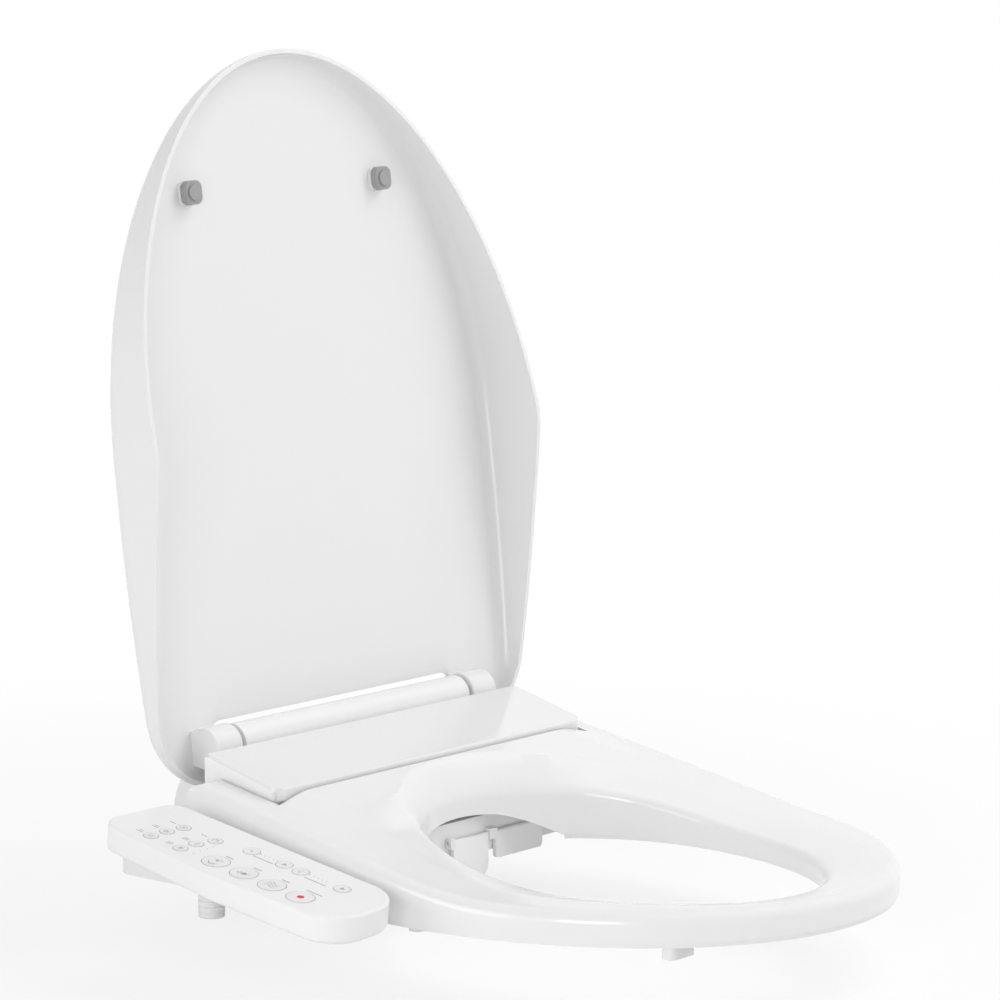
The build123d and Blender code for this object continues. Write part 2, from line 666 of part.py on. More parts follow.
# Base: lower tray, upper housing, sloping cover and the plate that bolts to the bowl
with BuildPart() as base_lower:
    with BuildSketch(Plane.XY.offset(BASE_BOTTOM)):
        draw_base(BASE_NOSE, 0)
    extrude(amount=BASE_SEAM - BASE_BOTTOM)
    with BuildSketch(Plane.XY.offset(BASE_FLOOR)):
        draw_base(BASE_NOSE, WALL)
    extrude(amount=BASE_SEAM - BASE_FLOOR, mode=Mode.SUBTRACT)
    # deck over the nose
    with BuildSketch(Plane.XY.offset(BASE_SEAM - WALL)):
        with Locations((0, BASE_FRONT + WALL)):
            deck_length = BASE_FRONT - BASE_NOSE + WALL / 2
            Rectangle(2 * BASE_HALF - WALL, deck_length, align=(Align.CENTER, Align.MAX))
    extrude(amount=WALL)
    # raised floor with a pocket that slides over the mounting plate
    with BuildSketch(Plane.XY.offset(BASE_BOTTOM)):
        with Locations((0, BASE_REAR - WALL / 2)):
            Rectangle(
                2 * (PLATE_HALF + BASE_FLOOR),
                BASE_REAR - WALL / 2 - PLATE_FRONT + BASE_FLOOR,
                align=(Align.CENTER, Align.MAX),
            )
    extrude(amount=FAN_BOTTOM - BASE_BOTTOM)
    with BuildSketch(Plane.XY):
        with Locations((0, PLATE_FRONT - GAP)):
            Rectangle(2 * (PLATE_HALF + GAP), FAR, align=(Align.CENTER, Align.MIN))
    extrude(amount=PLATE_THICK, mode=Mode.SUBTRACT)
    # mouth for the nozzle and outlet for the dryer
    with BuildSketch(Plane.XY):
        with Locations((NOZZLE_X, BASE_NOSE - 1)):
            Rectangle(GATE_WIDTH - 2 * MOUTH_IN, MOUTH_LENGTH, align=(Align.CENTER, Align.MIN))
    extrude(amount=MOUTH_TOP, mode=Mode.SUBTRACT)
    with Locations((FAN_X, BASE_NOSE, (DUCT_LOW + DUCT_HIGH) / 2)):
        Box(2 * DUCT_HALF, 3 * WALL, DUCT_HIGH - DUCT_LOW - 2 * DUCT_WALL, mode=Mode.SUBTRACT)
    # holes for the water inlet, the release button and the cord gland
    with Locations((SHOULDER_HALF, INLET_Y, INLET_Z)):
        Cylinder(INLET_NECK + GAP, 3 * WALL, rotation=(0, 90, 0), mode=Mode.SUBTRACT)
    with Locations((SHOULDER_HALF, RELEASE_Y, RELEASE_Z)):
        Box(3 * WALL, RELEASE_WIDTH + 2 * GAP, RELEASE_HEIGHT + 2 * GAP, mode=Mode.SUBTRACT)
    with Locations((GLAND_X, BASE_REAR, GLAND_Z)):
        Cylinder(GLAND_RADIUS + GAP, 3 * WALL, rotation=(90, 0, 0), mode=Mode.SUBTRACT)
    # posts for the main board
    with BuildSketch(Plane.XY.offset(BASE_FLOOR)):
        with Locations((BOARD_X, BOARD_Y)):
            with GridLocations(BOARD_WIDTH - 2 * BASE_FLOOR, BOARD_LENGTH - 2 * BASE_FLOOR, 2, 2):
                Circle(BOARD_POST)
    extrude(amount=BOARD_POST)
    # lugs that carry the gate and the flap
    for middle, width in LUGS:
        with Locations((middle, (LUG_FRONT + BASE_NOSE) / 2, FLAP_AXIS_Z)):
            Box(width, BASE_NOSE - LUG_FRONT, 2 * LUG_HALF)
        with Locations((middle, FLAP_AXIS_Y, FLAP_AXIS_Z)):
            Cylinder(FLAP_PIN + RUNNING, width, rotation=(0, 90, 0), mode=Mode.SUBTRACT)
base_lower.part.label = "base_lower"
export_step(base_lower.part, "parts/base_lower.step")

with BuildPart() as base_upper:
    # front block under the cover
    with BuildSketch(Plane.YZ):
        with BuildLine():
            Polyline(
                (BASE_FRONT, BASE_SEAM),
                (BASE_FRONT, cover_under(BASE_FRONT)),
                (COVER_REAR, cover_under(COVER_REAR)),
                (POCKET_FRONT, cover_under(COVER_REAR)),
                (POCKET_FRONT, BASE_SEAM),
                close=True,
            )
        make_face()
    extrude(amount=BASE_HALF, both=True)
    # shoulders, and the higher middle that carries the lid's hinge
    for half, high in ((SHOULDER_HALF, SHOULDER_TOP), (RIDGE_HALF, RIDGE_BACK_Z)):
        with BuildSketch(Plane.YZ):
            with BuildLine():
                Line((POCKET_FRONT, BASE_SEAM), (POCKET_FRONT, high))
                Line((POCKET_FRONT, high), (HINGE_Y + RIDGE_RADIUS, high))
                ThreePointArc(
                    (HINGE_Y + RIDGE_RADIUS, high),
                    (BASE_REAR - REAR_BULGE, (high + REAR_EDGE_Z) / 2),
                    (BASE_REAR, REAR_EDGE_Z),
                )
                Line((BASE_REAR, REAR_EDGE_Z), (BASE_REAR, BASE_SEAM))
                Line((BASE_REAR, BASE_SEAM), (POCKET_FRONT, BASE_SEAM))
            make_face()
        extrude(amount=half, both=True)
    with BuildSketch(Plane.YZ):
        with Locations((HINGE_Y, HINGE_Z)):
            Circle(RIDGE_RADIUS)
        with Locations((HINGE_Y, HINGE_Z)):
            Rectangle(2 * RIDGE_RADIUS, HINGE_Z - BASE_SEAM, align=(Align.CENTER, Align.MAX))
    extrude(amount=RIDGE_HALF, both=True)
    with BuildSketch(Plane.XY.offset(BASE_SEAM)):
        draw_base(BASE_FRONT, 0)
    extrude(amount=FAR, mode=Mode.INTERSECT)
    # pockets that the lid's rear corners swing in
    for side in (-1, 1):
        with BuildSketch(Plane.YZ.offset(side * (RIDGE_HALF + 2 * GAP))):
            with Locations((HINGE_Y, HINGE_Z)):
                Circle(EAR_ROOM)
            with Locations((HINGE_Y + EAR_ROOM, HINGE_Z)):
                Rectangle(HINGE_Y + EAR_ROOM - POCKET_FRONT, EAR_ROOM, align=(Align.MAX, Align.MIN))
            with Locations((POCKET_FRONT, HINGE_Z)):
                Rectangle(FAR, FAR, align=(Align.MAX, Align.CENTER), mode=Mode.SUBTRACT)
        extrude(amount=side * FAR, mode=Mode.SUBTRACT)
    # hollows: under the cover, under the hinge ridge, and low under the shoulders
    with BuildSketch(Plane.YZ):
        with BuildLine():
            Polyline(
                (BASE_FRONT + WALL, BASE_SEAM),
                (BASE_FRONT + WALL, cover_under(BASE_FRONT + WALL) - WALL),
                (POCKET_FRONT - WALL, cover_under(POCKET_FRONT - WALL) - 2 * WALL),
                (POCKET_FRONT - WALL, BASE_SEAM),
                close=True,
            )
        make_face()
    extrude(amount=BASE_HALF - WALL, both=True, mode=Mode.SUBTRACT)
    with BuildSketch(Plane.YZ):
        with BuildLine():
            Polyline(
                (POCKET_FRONT - 2 * WALL, BASE_SEAM),
                (POCKET_FRONT - 2 * WALL, HINGE_Z - RIDGE_RADIUS - WALL),
                (HINGE_Y + RIDGE_RADIUS, HINGE_Z - RIDGE_RADIUS - WALL),
                (BASE_REAR - REAR_BULGE - 3 * WALL, (RIDGE_BACK_Z + REAR_EDGE_Z) / 2 - 3 * WALL),
                (BASE_REAR - WALL, REAR_EDGE_Z - WALL),
                (BASE_REAR - WALL, BASE_SEAM),
                close=True,
            )
        make_face()
    extrude(amount=RIDGE_HALF - WALL, both=True, mode=Mode.SUBTRACT)
    with BuildSketch(Plane.XY.offset(BASE_SEAM)):
        draw_shoulders(WALL)
    extrude(amount=REAR_EDGE_Z - WALL - BASE_SEAM, mode=Mode.SUBTRACT)
    # service window under the cover
    with Locations((0, (BASE_FRONT + COVER_REAR) / 2, COVER_FRONT_Z)):
        window_length = COVER_REAR - BASE_FRONT - 2 * COVER_LEDGE
        Box(2 * (BASE_HALF - WINDOW_EDGE), window_length, 2 * COVER_LEDGE, mode=Mode.SUBTRACT)
    # bosses and bores for the seat's pins, bores for the lid's
    for side in (-1, 1):
        with Locations((side * (BASE_HALF - WALL / 2 - SEAT_BOSS / 2), PIVOT_Y, PIVOT_Z)):
            Cylinder(SEAT_BOSS_RADIUS, SEAT_BOSS, rotation=(0, 90, 0))
        with Locations((side * (BASE_HALF - SEAT_BOSS / 2), PIVOT_Y, PIVOT_Z)):
            Cylinder(SEAT_PIN_RADIUS + RUNNING, 2 * SEAT_BOSS, rotation=(0, 90, 0), mode=Mode.SUBTRACT)
        with Locations((side * (RIDGE_HALF - DAMPER_LENGTH / 2), HINGE_Y, HINGE_Z)):
            Cylinder(DAMPER_RADIUS + RUNNING, DAMPER_LENGTH, rotation=(0, 90, 0), mode=Mode.SUBTRACT)
base_upper.part.label = "base_upper"
export_step(base_upper.part, "parts/base_upper.step")

with BuildPart() as top_cover:
    with BuildSketch(Plane.YZ):
        with BuildLine():
            Polyline(
                (COVER_REAR, COVER_REAR_Z),
                (COVER_REAR, cover_under(COVER_REAR)),
                (BASE_FRONT - GAP, cover_under(BASE_FRONT - GAP)),
                (BASE_FRONT - GAP, COVER_FRONT_Z - COVER_LIP),
                (COVER_FRONT, COVER_FRONT_Z - COVER_LIP),
                (COVER_FRONT, COVER_FRONT_Z),
                close=True,
            )
        profile = make_face()
        fillet(profile.vertices().sort_by(Axis.X)[:2].sort_by(Axis.Y)[-1:], COVER_EDGE)
    extrude(amount=BASE_HALF, both=True)
    with BuildSketch(Plane.XY):
        with Locations((0, COVER_FRONT)):
            plan = Rectangle(2 * BASE_HALF, COVER_REAR - COVER_FRONT, align=(Align.CENTER, Align.MIN))
        fillet(plan.vertices().group_by(Axis.Y)[0], COVER_CORNER)
    extrude(amount=FAR, mode=Mode.INTERSECT)
top_cover.part.label = "top_cover"
export_step(top_cover.part, "parts/top_cover.step")

with BuildPart() as mounting_plate:
    with BuildSketch(Plane.XY):
        with Locations((0, (PLATE_FRONT + PLATE_REAR) / 2)):
            RectangleRounded(2 * PLATE_HALF, PLATE_REAR - PLATE_FRONT, PLATE_CORNER)
        with Locations((-BOLT_SPACING / 2, 0), (BOLT_SPACING / 2, 0)):
            SlotOverall(BOLT_SLOT, 2 * BOLT_RADIUS, mode=Mode.SUBTRACT)
    extrude(amount=PLATE_THICK)
    with BuildSketch(Plane.XY.offset(PLATE_THICK)):
        with Locations((-BOLT_SPACING / 2, 0), (BOLT_SPACING / 2, 0)):
            SlotOverall(BOLT_SLOT + 2 * BOLT_HEAD_STEP, 2 * (BOLT_RADIUS + BOLT_HEAD_STEP))
    extrude(amount=-PLATE_THICK / 2, mode=Mode.SUBTRACT)
mounting_plate.part.label = "mounting_plate"
export_step(mounting_plate.part, "parts/mounting_plate.step")

# Hinge hardware: a damper on one side and a plain pin on the other, for the lid and for the seat
with BuildPart() as lid_damper:
    with BuildSketch(Plane.YZ.offset(-RIDGE_HALF)):
        with Locations((HINGE_Y, HINGE_Z)):
            Circle(DAMPER_RADIUS)
    extrude(amount=DAMPER_LENGTH)
    with BuildSketch(Plane.YZ.offset(-RIDGE_HALF)):
        with Locations((HINGE_Y, HINGE_Z)):
            Circle(LID_PIN_RADIUS)
    extrude(amount=RIDGE_HALF - KNUCKLE_OUTER)
lid_damper.part.label = "lid_damper"
export_step(lid_damper.part, "parts/lid_damper.step")

with BuildPart() as lid_hinge_pin:
    with BuildSketch(Plane.YZ.offset(RIDGE_HALF)):
        with Locations((HINGE_Y, HINGE_Z)):
            Circle(DAMPER_RADIUS)
    extrude(amount=-DAMPER_LENGTH)
    with BuildSketch(Plane.YZ.offset(RIDGE_HALF)):
        with Locations((HINGE_Y, HINGE_Z)):
            Circle(LID_PIN_RADIUS)
    extrude(amount=KNUCKLE_OUTER - RIDGE_HALF)
lid_hinge_pin.part.label = "lid_hinge_pin"
export_step(lid_hinge_pin.part, "parts/lid_hinge_pin.step")

with BuildPart() as seat_damper:
    with BuildSketch(Plane.YZ.offset(SEAT_BOSS + WALL / 2 - BASE_HALF)):
        with Locations((PIVOT_Y, PIVOT_Z)):
            Circle(SEAT_DAMPER_RADIUS)
    extrude(amount=SEAT_DAMPER_LENGTH)
    with BuildSketch(Plane.YZ.offset(-SEAT_PIN_END)):
        with Locations((PIVOT_Y, PIVOT_Z)):
            Circle(SEAT_PIN_RADIUS)
    extrude(amount=SEAT_PIN_END - BASE_HALF + SEAT_BOSS + WALL)
seat_damper.part.label = "seat_damper"
export_step(seat_damper.part, "parts/seat_damper.step")

with BuildPart() as seat_hinge_pin:
    with BuildSketch(Plane.YZ.offset(BASE_HALF - SEAT_BOSS - WALL / 2)):
        with Locations((PIVOT_Y, PIVOT_Z)):
            Circle(SEAT_DAMPER_RADIUS)
    extrude(amount=-WALL)
    with BuildSketch(Plane.YZ.offset(SEAT_PIN_END)):
        with Locations((PIVOT_Y, PIVOT_Z)):
            Circle(SEAT_PIN_RADIUS)
    extrude(amount=BASE_HALF - SEAT_BOSS - WALL - SEAT_PIN_END)
seat_hinge_pin.part.label = "seat_hinge_pin"
export_step(seat_hinge_pin.part, "parts/seat_hinge_pin.step")

# Nozzle: wand with its rack, cradle, pinion and motor
rack_root = RACK_PITCH_UP - TOOTH_DEDENDUM
rack_tip = RACK_PITCH_UP + TOOTH_ADDENDUM
pinion_pitch = RACK_MODULE * PINION_TEETH / 2
pinion_up = RACK_PITCH_UP + pinion_pitch
root_half, tip_half = tooth(rack_root, RACK_PITCH_UP, rack_tip)
along = Axis(nozzle_plane.origin, nozzle_plane.z_dir)

with BuildPart() as nozzle_wand:
    with BuildSketch(nozzle_plane.offset(NOZZLE_START)):
        Circle(NOZZLE_RADIUS)
    extrude(amount=NOZZLE_END - NOZZLE_START)
    fillet(nozzle_wand.faces().sort_by(along)[0].edges(), NOZZLE_TIP_ROUND)
    with BuildSketch(nozzle_side):
        with Locations((RACK_START, 0)):
            Rectangle(NOZZLE_END - RACK_START, rack_root, align=(Align.MIN, Align.MIN))
        first = PINION_AT - pi * RACK_MODULE * int((PINION_AT - RACK_START) / pi) + pi / 2
        for i in range(RACK_TEETH):
            middle = first + i * pi * RACK_MODULE
            Polygon(
                (middle - root_half, rack_root),
                (middle + root_half, rack_root),
                (middle + tip_half, rack_tip),
                (middle - tip_half, rack_tip),
                align=None,
            )
    extrude(amount=RACK_HALF, both=True)
    # spray holes near the tip
    with BuildSketch(nozzle_side):
        for hole in range(SPRAY_HOLES):
            with Locations((NOZZLE_START + SPRAY_FROM + hole * SPRAY_STEP, NOZZLE_RADIUS)):
                Rectangle(2 * SPRAY_RADIUS, NOZZLE_RADIUS / 2)
    extrude(amount=SPRAY_RADIUS, both=True, mode=Mode.SUBTRACT)
nozzle_wand.part.label = "nozzle_wand"
export_step(nozzle_wand.part, "parts/nozzle_wand.step")

with BuildPart() as nozzle_pinion:
    with BuildSketch(nozzle_side.offset(-PINION_HALF)):
        with Locations((PINION_AT, pinion_up)):
            Circle(pinion_pitch - TOOTH_DEDENDUM)
            with PolarLocations(0, PINION_TEETH, start_angle=-90):
                Polygon(
                    (pinion_pitch - TOOTH_DEDENDUM - GAP, -root_half),
                    (pinion_pitch + TOOTH_ADDENDUM, -tip_half),
                    (pinion_pitch + TOOTH_ADDENDUM, tip_half),
                    (pinion_pitch - TOOTH_DEDENDUM - GAP, root_half),
                    align=None,
                )
    extrude(amount=2 * PINION_HALF)
    with BuildSketch(nozzle_side):
        with Locations((PINION_AT, pinion_up)):
            Circle(PINION_SHAFT)
    extrude(amount=MOTOR_AT + MOTOR_SHAFT_DEPTH)
nozzle_pinion.part.label = "nozzle_pinion"
export_step(nozzle_pinion.part, "parts/nozzle_pinion.step")

with BuildPart() as nozzle_motor:
    with BuildSketch(nozzle_side.offset(MOTOR_AT)):
        with Locations((PINION_AT, pinion_up)):
            Circle(MOTOR_RADIUS)
    extrude(amount=MOTOR_LENGTH)
    with BuildSketch(nozzle_side.offset(MOTOR_AT)):
        with Locations((PINION_AT, pinion_up)):
            Circle(PINION_SHAFT + RUNNING)
    extrude(amount=MOTOR_SHAFT_DEPTH + GAP, mode=Mode.SUBTRACT)
nozzle_motor.part.label = "nozzle_motor"
export_step(nozzle_motor.part, "parts/nozzle_motor.step")

with BuildPart() as nozzle_cradle:
    with BuildSketch(nozzle_plane.offset(CRADLE_START)):
        Circle(NOZZLE_RADIUS + GAP + CRADLE_WALL)
    extrude(amount=CRADLE_END - CRADLE_START)
    # post down to the floor
    with BuildSketch(Plane.XY.offset(BASE_FLOOR)):
        with Locations((NOZZLE_X, POST_Y)):
            Rectangle(POST_SIZE, POST_SIZE)
    extrude(amount=POST_TOP - BASE_FLOOR)
    with BuildSketch(nozzle_plane):
        Circle(NOZZLE_RADIUS + GAP)
        with Locations((0, -CRADLE_OPEN)):
            Rectangle(4 * NOZZLE_RADIUS, FAR, align=(Align.CENTER, Align.MAX))
    extrude(amount=FAR, mode=Mode.SUBTRACT)
    # ear that carries the motor
    with BuildSketch(nozzle_side.offset(MOTOR_AT - MOTOR_EAR)):
        with Locations((PINION_AT, -CRADLE_OPEN)):
            Rectangle(2 * EAR_HALF, pinion_up + EAR_HALF, align=(Align.CENTER, Align.MIN))
        with Locations((PINION_AT, pinion_up)):
            Circle(2 * PINION_SHAFT, mode=Mode.SUBTRACT)
    extrude(amount=MOTOR_EAR)
nozzle_cradle.part.label = "nozzle_cradle"
export_step(nozzle_cradle.part, "parts/nozzle_cradle.step")

# Gate in front of the nozzle and flap over the dryer's outlet, on one hinge line
with BuildPart() as nozzle_gate:
    with BuildSketch(Plane.XZ.offset(-FLAP_AXIS_Y)):
        with Locations((NOZZLE_X, FLAP_AXIS_Z)):
            plate = Rectangle(GATE_WIDTH, FLAP_AXIS_Z - GATE_BOTTOM, align=(Align.CENTER, Align.MAX))
        fillet(plate.vertices().group_by(Axis.Y)[0], GATE_CORNER)
    extrude(amount=FLAP_THICK / 2, both=True)
    with Locations((NOZZLE_X, FLAP_AXIS_Y, FLAP_AXIS_Z)):
        Cylinder(FLAP_THICK / 2, GATE_WIDTH, rotation=(0, 90, 0))
        Cylinder(FLAP_PIN, GATE_WIDTH + 2 * FLAP_PIN_LENGTH, rotation=(0, 90, 0))
nozzle_gate.part.label = "nozzle_gate"
export_step(nozzle_gate.part, "parts/nozzle_gate.step")

with BuildPart() as dryer_flap:
    with BuildSketch(Plane.XZ.offset(-FLAP_AXIS_Y)):
        with Locations((FAN_X, FLAP_AXIS_Z)):
            plate = Rectangle(FLAP_WIDTH, FLAP_AXIS_Z - FLAP_BOTTOM, align=(Align.CENTER, Align.MAX))
        fillet(plate.vertices().group_by(Axis.Y)[0], FLAP_THICK)
    extrude(amount=FLAP_THICK / 2, both=True)
    with Locations((FAN_X, FLAP_AXIS_Y, FLAP_AXIS_Z)):
        Cylinder(FLAP_THICK / 2, FLAP_WIDTH, rotation=(0, 90, 0))
        Cylinder(FLAP_PIN, FLAP_WIDTH + 2 * FLAP_PIN_LENGTH, rotation=(0, 90, 0))
dryer_flap.part.label = "dryer_flap"
export_step(dryer_flap.part, "parts/dryer_flap.step")

# Dryer: fan housing with its outlet, impeller, duct and heater
with BuildPart() as fan_housing:
    with BuildSketch(Plane.XY.offset(FAN_BOTTOM)):
        with Locations((FAN_X, FAN_Y)):
            Circle(FAN_RADIUS)
    extrude(amount=FAN_TOP - FAN_BOTTOM)
    with BuildSketch(Plane.XY.offset(FAN_BOTTOM)):
        with Locations((FAN_X, FAN_OUTLET_Y)):
            Rectangle(2 * (FAN_OUTLET_HALF + FAN_WALL), FAN_Y - FAN_OUTLET_Y, align=(Align.CENTER, Align.MIN))
    extrude(amount=FAN_OUTLET_HIGH + 2 * FAN_WALL)
    with BuildSketch(Plane.XY.offset(FAN_BOTTOM + FAN_WALL)):
        with Locations((FAN_X, FAN_Y)):
            Circle(FAN_RADIUS - FAN_WALL)
    extrude(amount=FAR, mode=Mode.SUBTRACT)
    with BuildSketch(Plane.XY.offset(FAN_BOTTOM + FAN_WALL)):
        with Locations((FAN_X, FAN_OUTLET_Y)):
            Rectangle(2 * FAN_OUTLET_HALF, FAN_Y - FAN_OUTLET_Y, align=(Align.CENTER, Align.MIN))
    extrude(amount=FAN_OUTLET_HIGH, mode=Mode.SUBTRACT)
    with BuildSketch(Plane.XY.offset(FAN_BOTTOM)):
        with Locations((FAN_X, FAN_Y)):
            Circle(FAN_PIN)
    extrude(amount=IMPELLER_TOP - FAN_BOTTOM)
fan_housing.part.label = "fan_housing"
export_step(fan_housing.part, "parts/fan_housing.step")

with BuildPart() as fan_impeller:
    with BuildSketch(Plane.XY.offset(IMPELLER_BOTTOM)):
        with Locations((FAN_X, FAN_Y)):
            Circle(IMPELLER_RADIUS)
    extrude(amount=IMPELLER_PLATE)
    with BuildSketch(Plane.XY.offset(IMPELLER_BOTTOM)):
        with Locations((FAN_X, FAN_Y)):
            Circle(IMPELLER_HUB)
            with PolarLocations((IMPELLER_RADIUS + IMPELLER_HUB) / 2 - IMPELLER_RIM, IMPELLER_BLADES):
                Rectangle(IMPELLER_RADIUS - IMPELLER_HUB, IMPELLER_BLADE)
    extrude(amount=IMPELLER_TOP - IMPELLER_BOTTOM)
    with BuildSketch(Plane.XY):
        with Locations((FAN_X, FAN_Y)):
            Circle(FAN_PIN + RUNNING)
    extrude(amount=FAR, mode=Mode.SUBTRACT)
fan_impeller.part.label = "fan_impeller"
export_step(fan_impeller.part, "parts/fan_impeller.step")

with BuildPart() as dryer_duct:
    for grow, mode in ((DUCT_WALL, Mode.ADD), (0, Mode.SUBTRACT)):
        with BuildSketch(Plane.XZ.offset(-BASE_NOSE - WALL)):
            with Locations((FAN_X, (DUCT_LOW + DUCT_HIGH) / 2)):
                Rectangle(2 * (DUCT_HALF + grow), DUCT_HIGH - DUCT_LOW - 2 * DUCT_WALL + 2 * grow)
        with BuildSketch(Plane.XZ.offset(-FAN_OUTLET_Y)):
            with Locations((FAN_X, FAN_BOTTOM + FAN_WALL + FAN_OUTLET_HIGH / 2)):
                Rectangle(2 * (FAN_OUTLET_HALF + grow), FAN_OUTLET_HIGH + 2 * grow)
        loft(mode=mode)
dryer_duct.part.label = "dryer_duct"
export_step(dryer_duct.part, "parts/dryer_duct.step")

with BuildPart() as dryer_heater:
    with BuildSketch(Plane.XZ.offset(HEATER_DEPTH / 2 - FAN_OUTLET_Y - HEATER_DEPTH)):
        with Locations((FAN_X, FAN_BOTTOM + FAN_WALL + FAN_OUTLET_HIGH / 2)):
            Rectangle(2 * FAN_OUTLET_HALF, FAN_OUTLET_HIGH)
            inner_half = FAN_OUTLET_HALF - HEATER_FRAME
            inner_high = FAN_OUTLET_HIGH - 2 * HEATER_FRAME
            Rectangle(2 * inner_half, inner_high, mode=Mode.SUBTRACT)
            with GridLocations(0, FAN_OUTLET_HIGH / (HEATER_BARS + 1), 1, HEATER_BARS):
                Rectangle(2 * FAN_OUTLET_HALF, HEATER_FRAME)
    extrude(amount=-HEATER_DEPTH)
dryer_heater.part.label = "dryer_heater"
export_step(dryer_heater.part, "parts/dryer_heater.step")

# Water heater, boards and connections
with BuildPart() as water_heater:
    with BuildSketch(Plane.XY.offset(BASE_FLOOR)):
        with Locations((TANK_X, TANK_Y)):
            RectangleRounded(TANK_WIDTH, TANK_LENGTH, BASE_FLOOR)
    extrude(amount=TANK_HEIGHT)
    fillet(water_heater.faces().sort_by(Axis.Z)[-1].edges(), WALL)
    with BuildSketch(Plane.XY.offset(BASE_FLOOR + TANK_HEIGHT)):
        with Locations((TANK_X, TANK_Y)):
            with GridLocations(TANK_WIDTH / 2, 0, 2, 1):
                Circle(TANK_NIPPLE)
                Circle(TANK_NIPPLE / 2, mode=Mode.SUBTRACT)
    extrude(amount=2 * TANK_NIPPLE)
water_heater.part.label = "water_heater"
export_step(water_heater.part, "parts/water_heater.step")

with BuildPart() as main_board:
    with Locations((BOARD_X, BOARD_Y, BASE_FLOOR + BOARD_POST)):
        Box(BOARD_WIDTH, BOARD_LENGTH, BOARD_THICK, align=(Align.CENTER, Align.CENTER, Align.MIN))
main_board.part.label = "main_board"
export_step(main_board.part, "parts/main_board.step")

with BuildPart() as transformer:
    with Locations((BOARD_X, BOARD_Y, BASE_FLOOR + BOARD_POST + BOARD_THICK)):
        Box(
            TRANSFORMER_SIZE,
            TRANSFORMER_SIZE,
            TRANSFORMER_SIZE,
            align=(Align.CENTER, Align.CENTER, Align.MIN),
        )
    chamfer(transformer.edges().filter_by(Axis.Z), WALL)
transformer.part.label = "transformer"
export_step(transformer.part, "parts/transformer.step")

with BuildPart() as water_inlet:
    with BuildSketch(Plane.YZ.offset(SHOULDER_HALF - 2 * WALL)):
        with Locations((INLET_Y, INLET_Z)):
            Circle(INLET_FLANGE)
    extrude(amount=WALL)
    with BuildSketch(Plane.YZ.offset(SHOULDER_HALF - WALL)):
        with Locations((INLET_Y, INLET_Z)):
            Circle(INLET_NECK)
    extrude(amount=WALL + INLET_GROOVE)
    with BuildSketch(Plane.YZ.offset(SHOULDER_HALF + INLET_GROOVE)):
        with Locations((INLET_Y, INLET_Z)):
            Circle(INLET_RADIUS)
    extrude(amount=INLET_OUT - INLET_GROOVE)
    with BuildSketch(Plane.YZ):
        with Locations((INLET_Y, INLET_Z)):
            Circle(INLET_BORE)
    extrude(amount=FAR, mode=Mode.SUBTRACT)
water_inlet.part.label = "water_inlet"
export_step(water_inlet.part, "parts/water_inlet.step")

with BuildPart() as inlet_valve:
    with Locations((SHOULDER_HALF - 2 * WALL, INLET_Y, BASE_FLOOR)):
        Box(VALVE_WIDTH, VALVE_LENGTH, VALVE_HEIGHT, align=(Align.MAX, Align.CENTER, Align.MIN))
    with Locations((SHOULDER_HALF - 2 * WALL - VALVE_WIDTH / 2, INLET_Y, BASE_FLOOR + VALVE_HEIGHT)):
        Cylinder(VALVE_LENGTH / 3, VALVE_COIL, align=(Align.CENTER, Align.CENTER, Align.MIN))
inlet_valve.part.label = "inlet_valve"
export_step(inlet_valve.part, "parts/inlet_valve.step")

with BuildPart() as cord_gland:
    with BuildSketch(Plane.XZ.offset(2 * WALL - BASE_REAR)):
        with Locations((GLAND_X, GLAND_Z)):
            Circle(GLAND_RADIUS + BASE_BOTTOM)
    extrude(amount=-WALL)
    with BuildSketch(Plane.XZ.offset(WALL - BASE_REAR)):
        with Locations((GLAND_X, GLAND_Z)):
            Circle(GLAND_RADIUS)
    extrude(amount=-WALL - GLAND_OUT)
    with BuildSketch(Plane.XZ):
        with Locations((GLAND_X, GLAND_Z)):
            Circle(GLAND_BORE)
    extrude(amount=-FAR, mode=Mode.SUBTRACT)
cord_gland.part.label = "cord_gland"
export_step(cord_gland.part, "parts/cord_gland.step")

with BuildPart() as release_button:
    with Locations((SHOULDER_HALF + RELEASE_PROUD, RELEASE_Y, RELEASE_Z)):
        Box(
            RELEASE_PROUD + WALL + 2 * GAP,
            RELEASE_WIDTH,
            RELEASE_HEIGHT,
            align=(Align.MAX, Align.CENTER, Align.CENTER),
        )
    fillet(release_button.edges().filter_by(Axis.X), WALL)
    fillet(release_button.faces().sort_by(Axis.X)[-1].edges(), SOFT_EDGE)
    with Locations((SHOULDER_HALF - WALL - GAP, RELEASE_Y, RELEASE_Z)):
        Box(
            RELEASE_FLANGE,
            RELEASE_WIDTH + 2 * RELEASE_FLANGE,
            RELEASE_HEIGHT + 2 * RELEASE_FLANGE,
            align=(Align.MAX, Align.CENTER, Align.CENTER),
        )
release_button.part.label = "release_button"
export_step(release_button.part, "parts/release_button.step")

# Control panel: upper and lower shells, board, arm to the base, foot and keys
with BuildPart() as panel_upper:
    with BuildSketch(panel_plane):
        draw_panel(0)
    extrude(amount=-PANEL_SEAM)
    fillet(panel_upper.faces().sort_by(Axis(panel_plane.origin, panel_plane.z_dir))[-1].edges(), PANEL_EDGE)
    with BuildSketch(panel_plane.offset(-PANEL_SKIN)):
        draw_panel(PANEL_WALL)
    extrude(amount=-PANEL_SEAM, mode=Mode.SUBTRACT)
    with BuildSketch(panel_plane):
        for x, y, radius in KEYS.values():
            with Locations((x, y)):
                Circle(radius + KEY_GAP)
    extrude(amount=PANEL_SKIN, both=True, mode=Mode.SUBTRACT)
panel_upper.part.label = "panel_upper"
export_step(panel_upper.part, "parts/panel_upper.step")

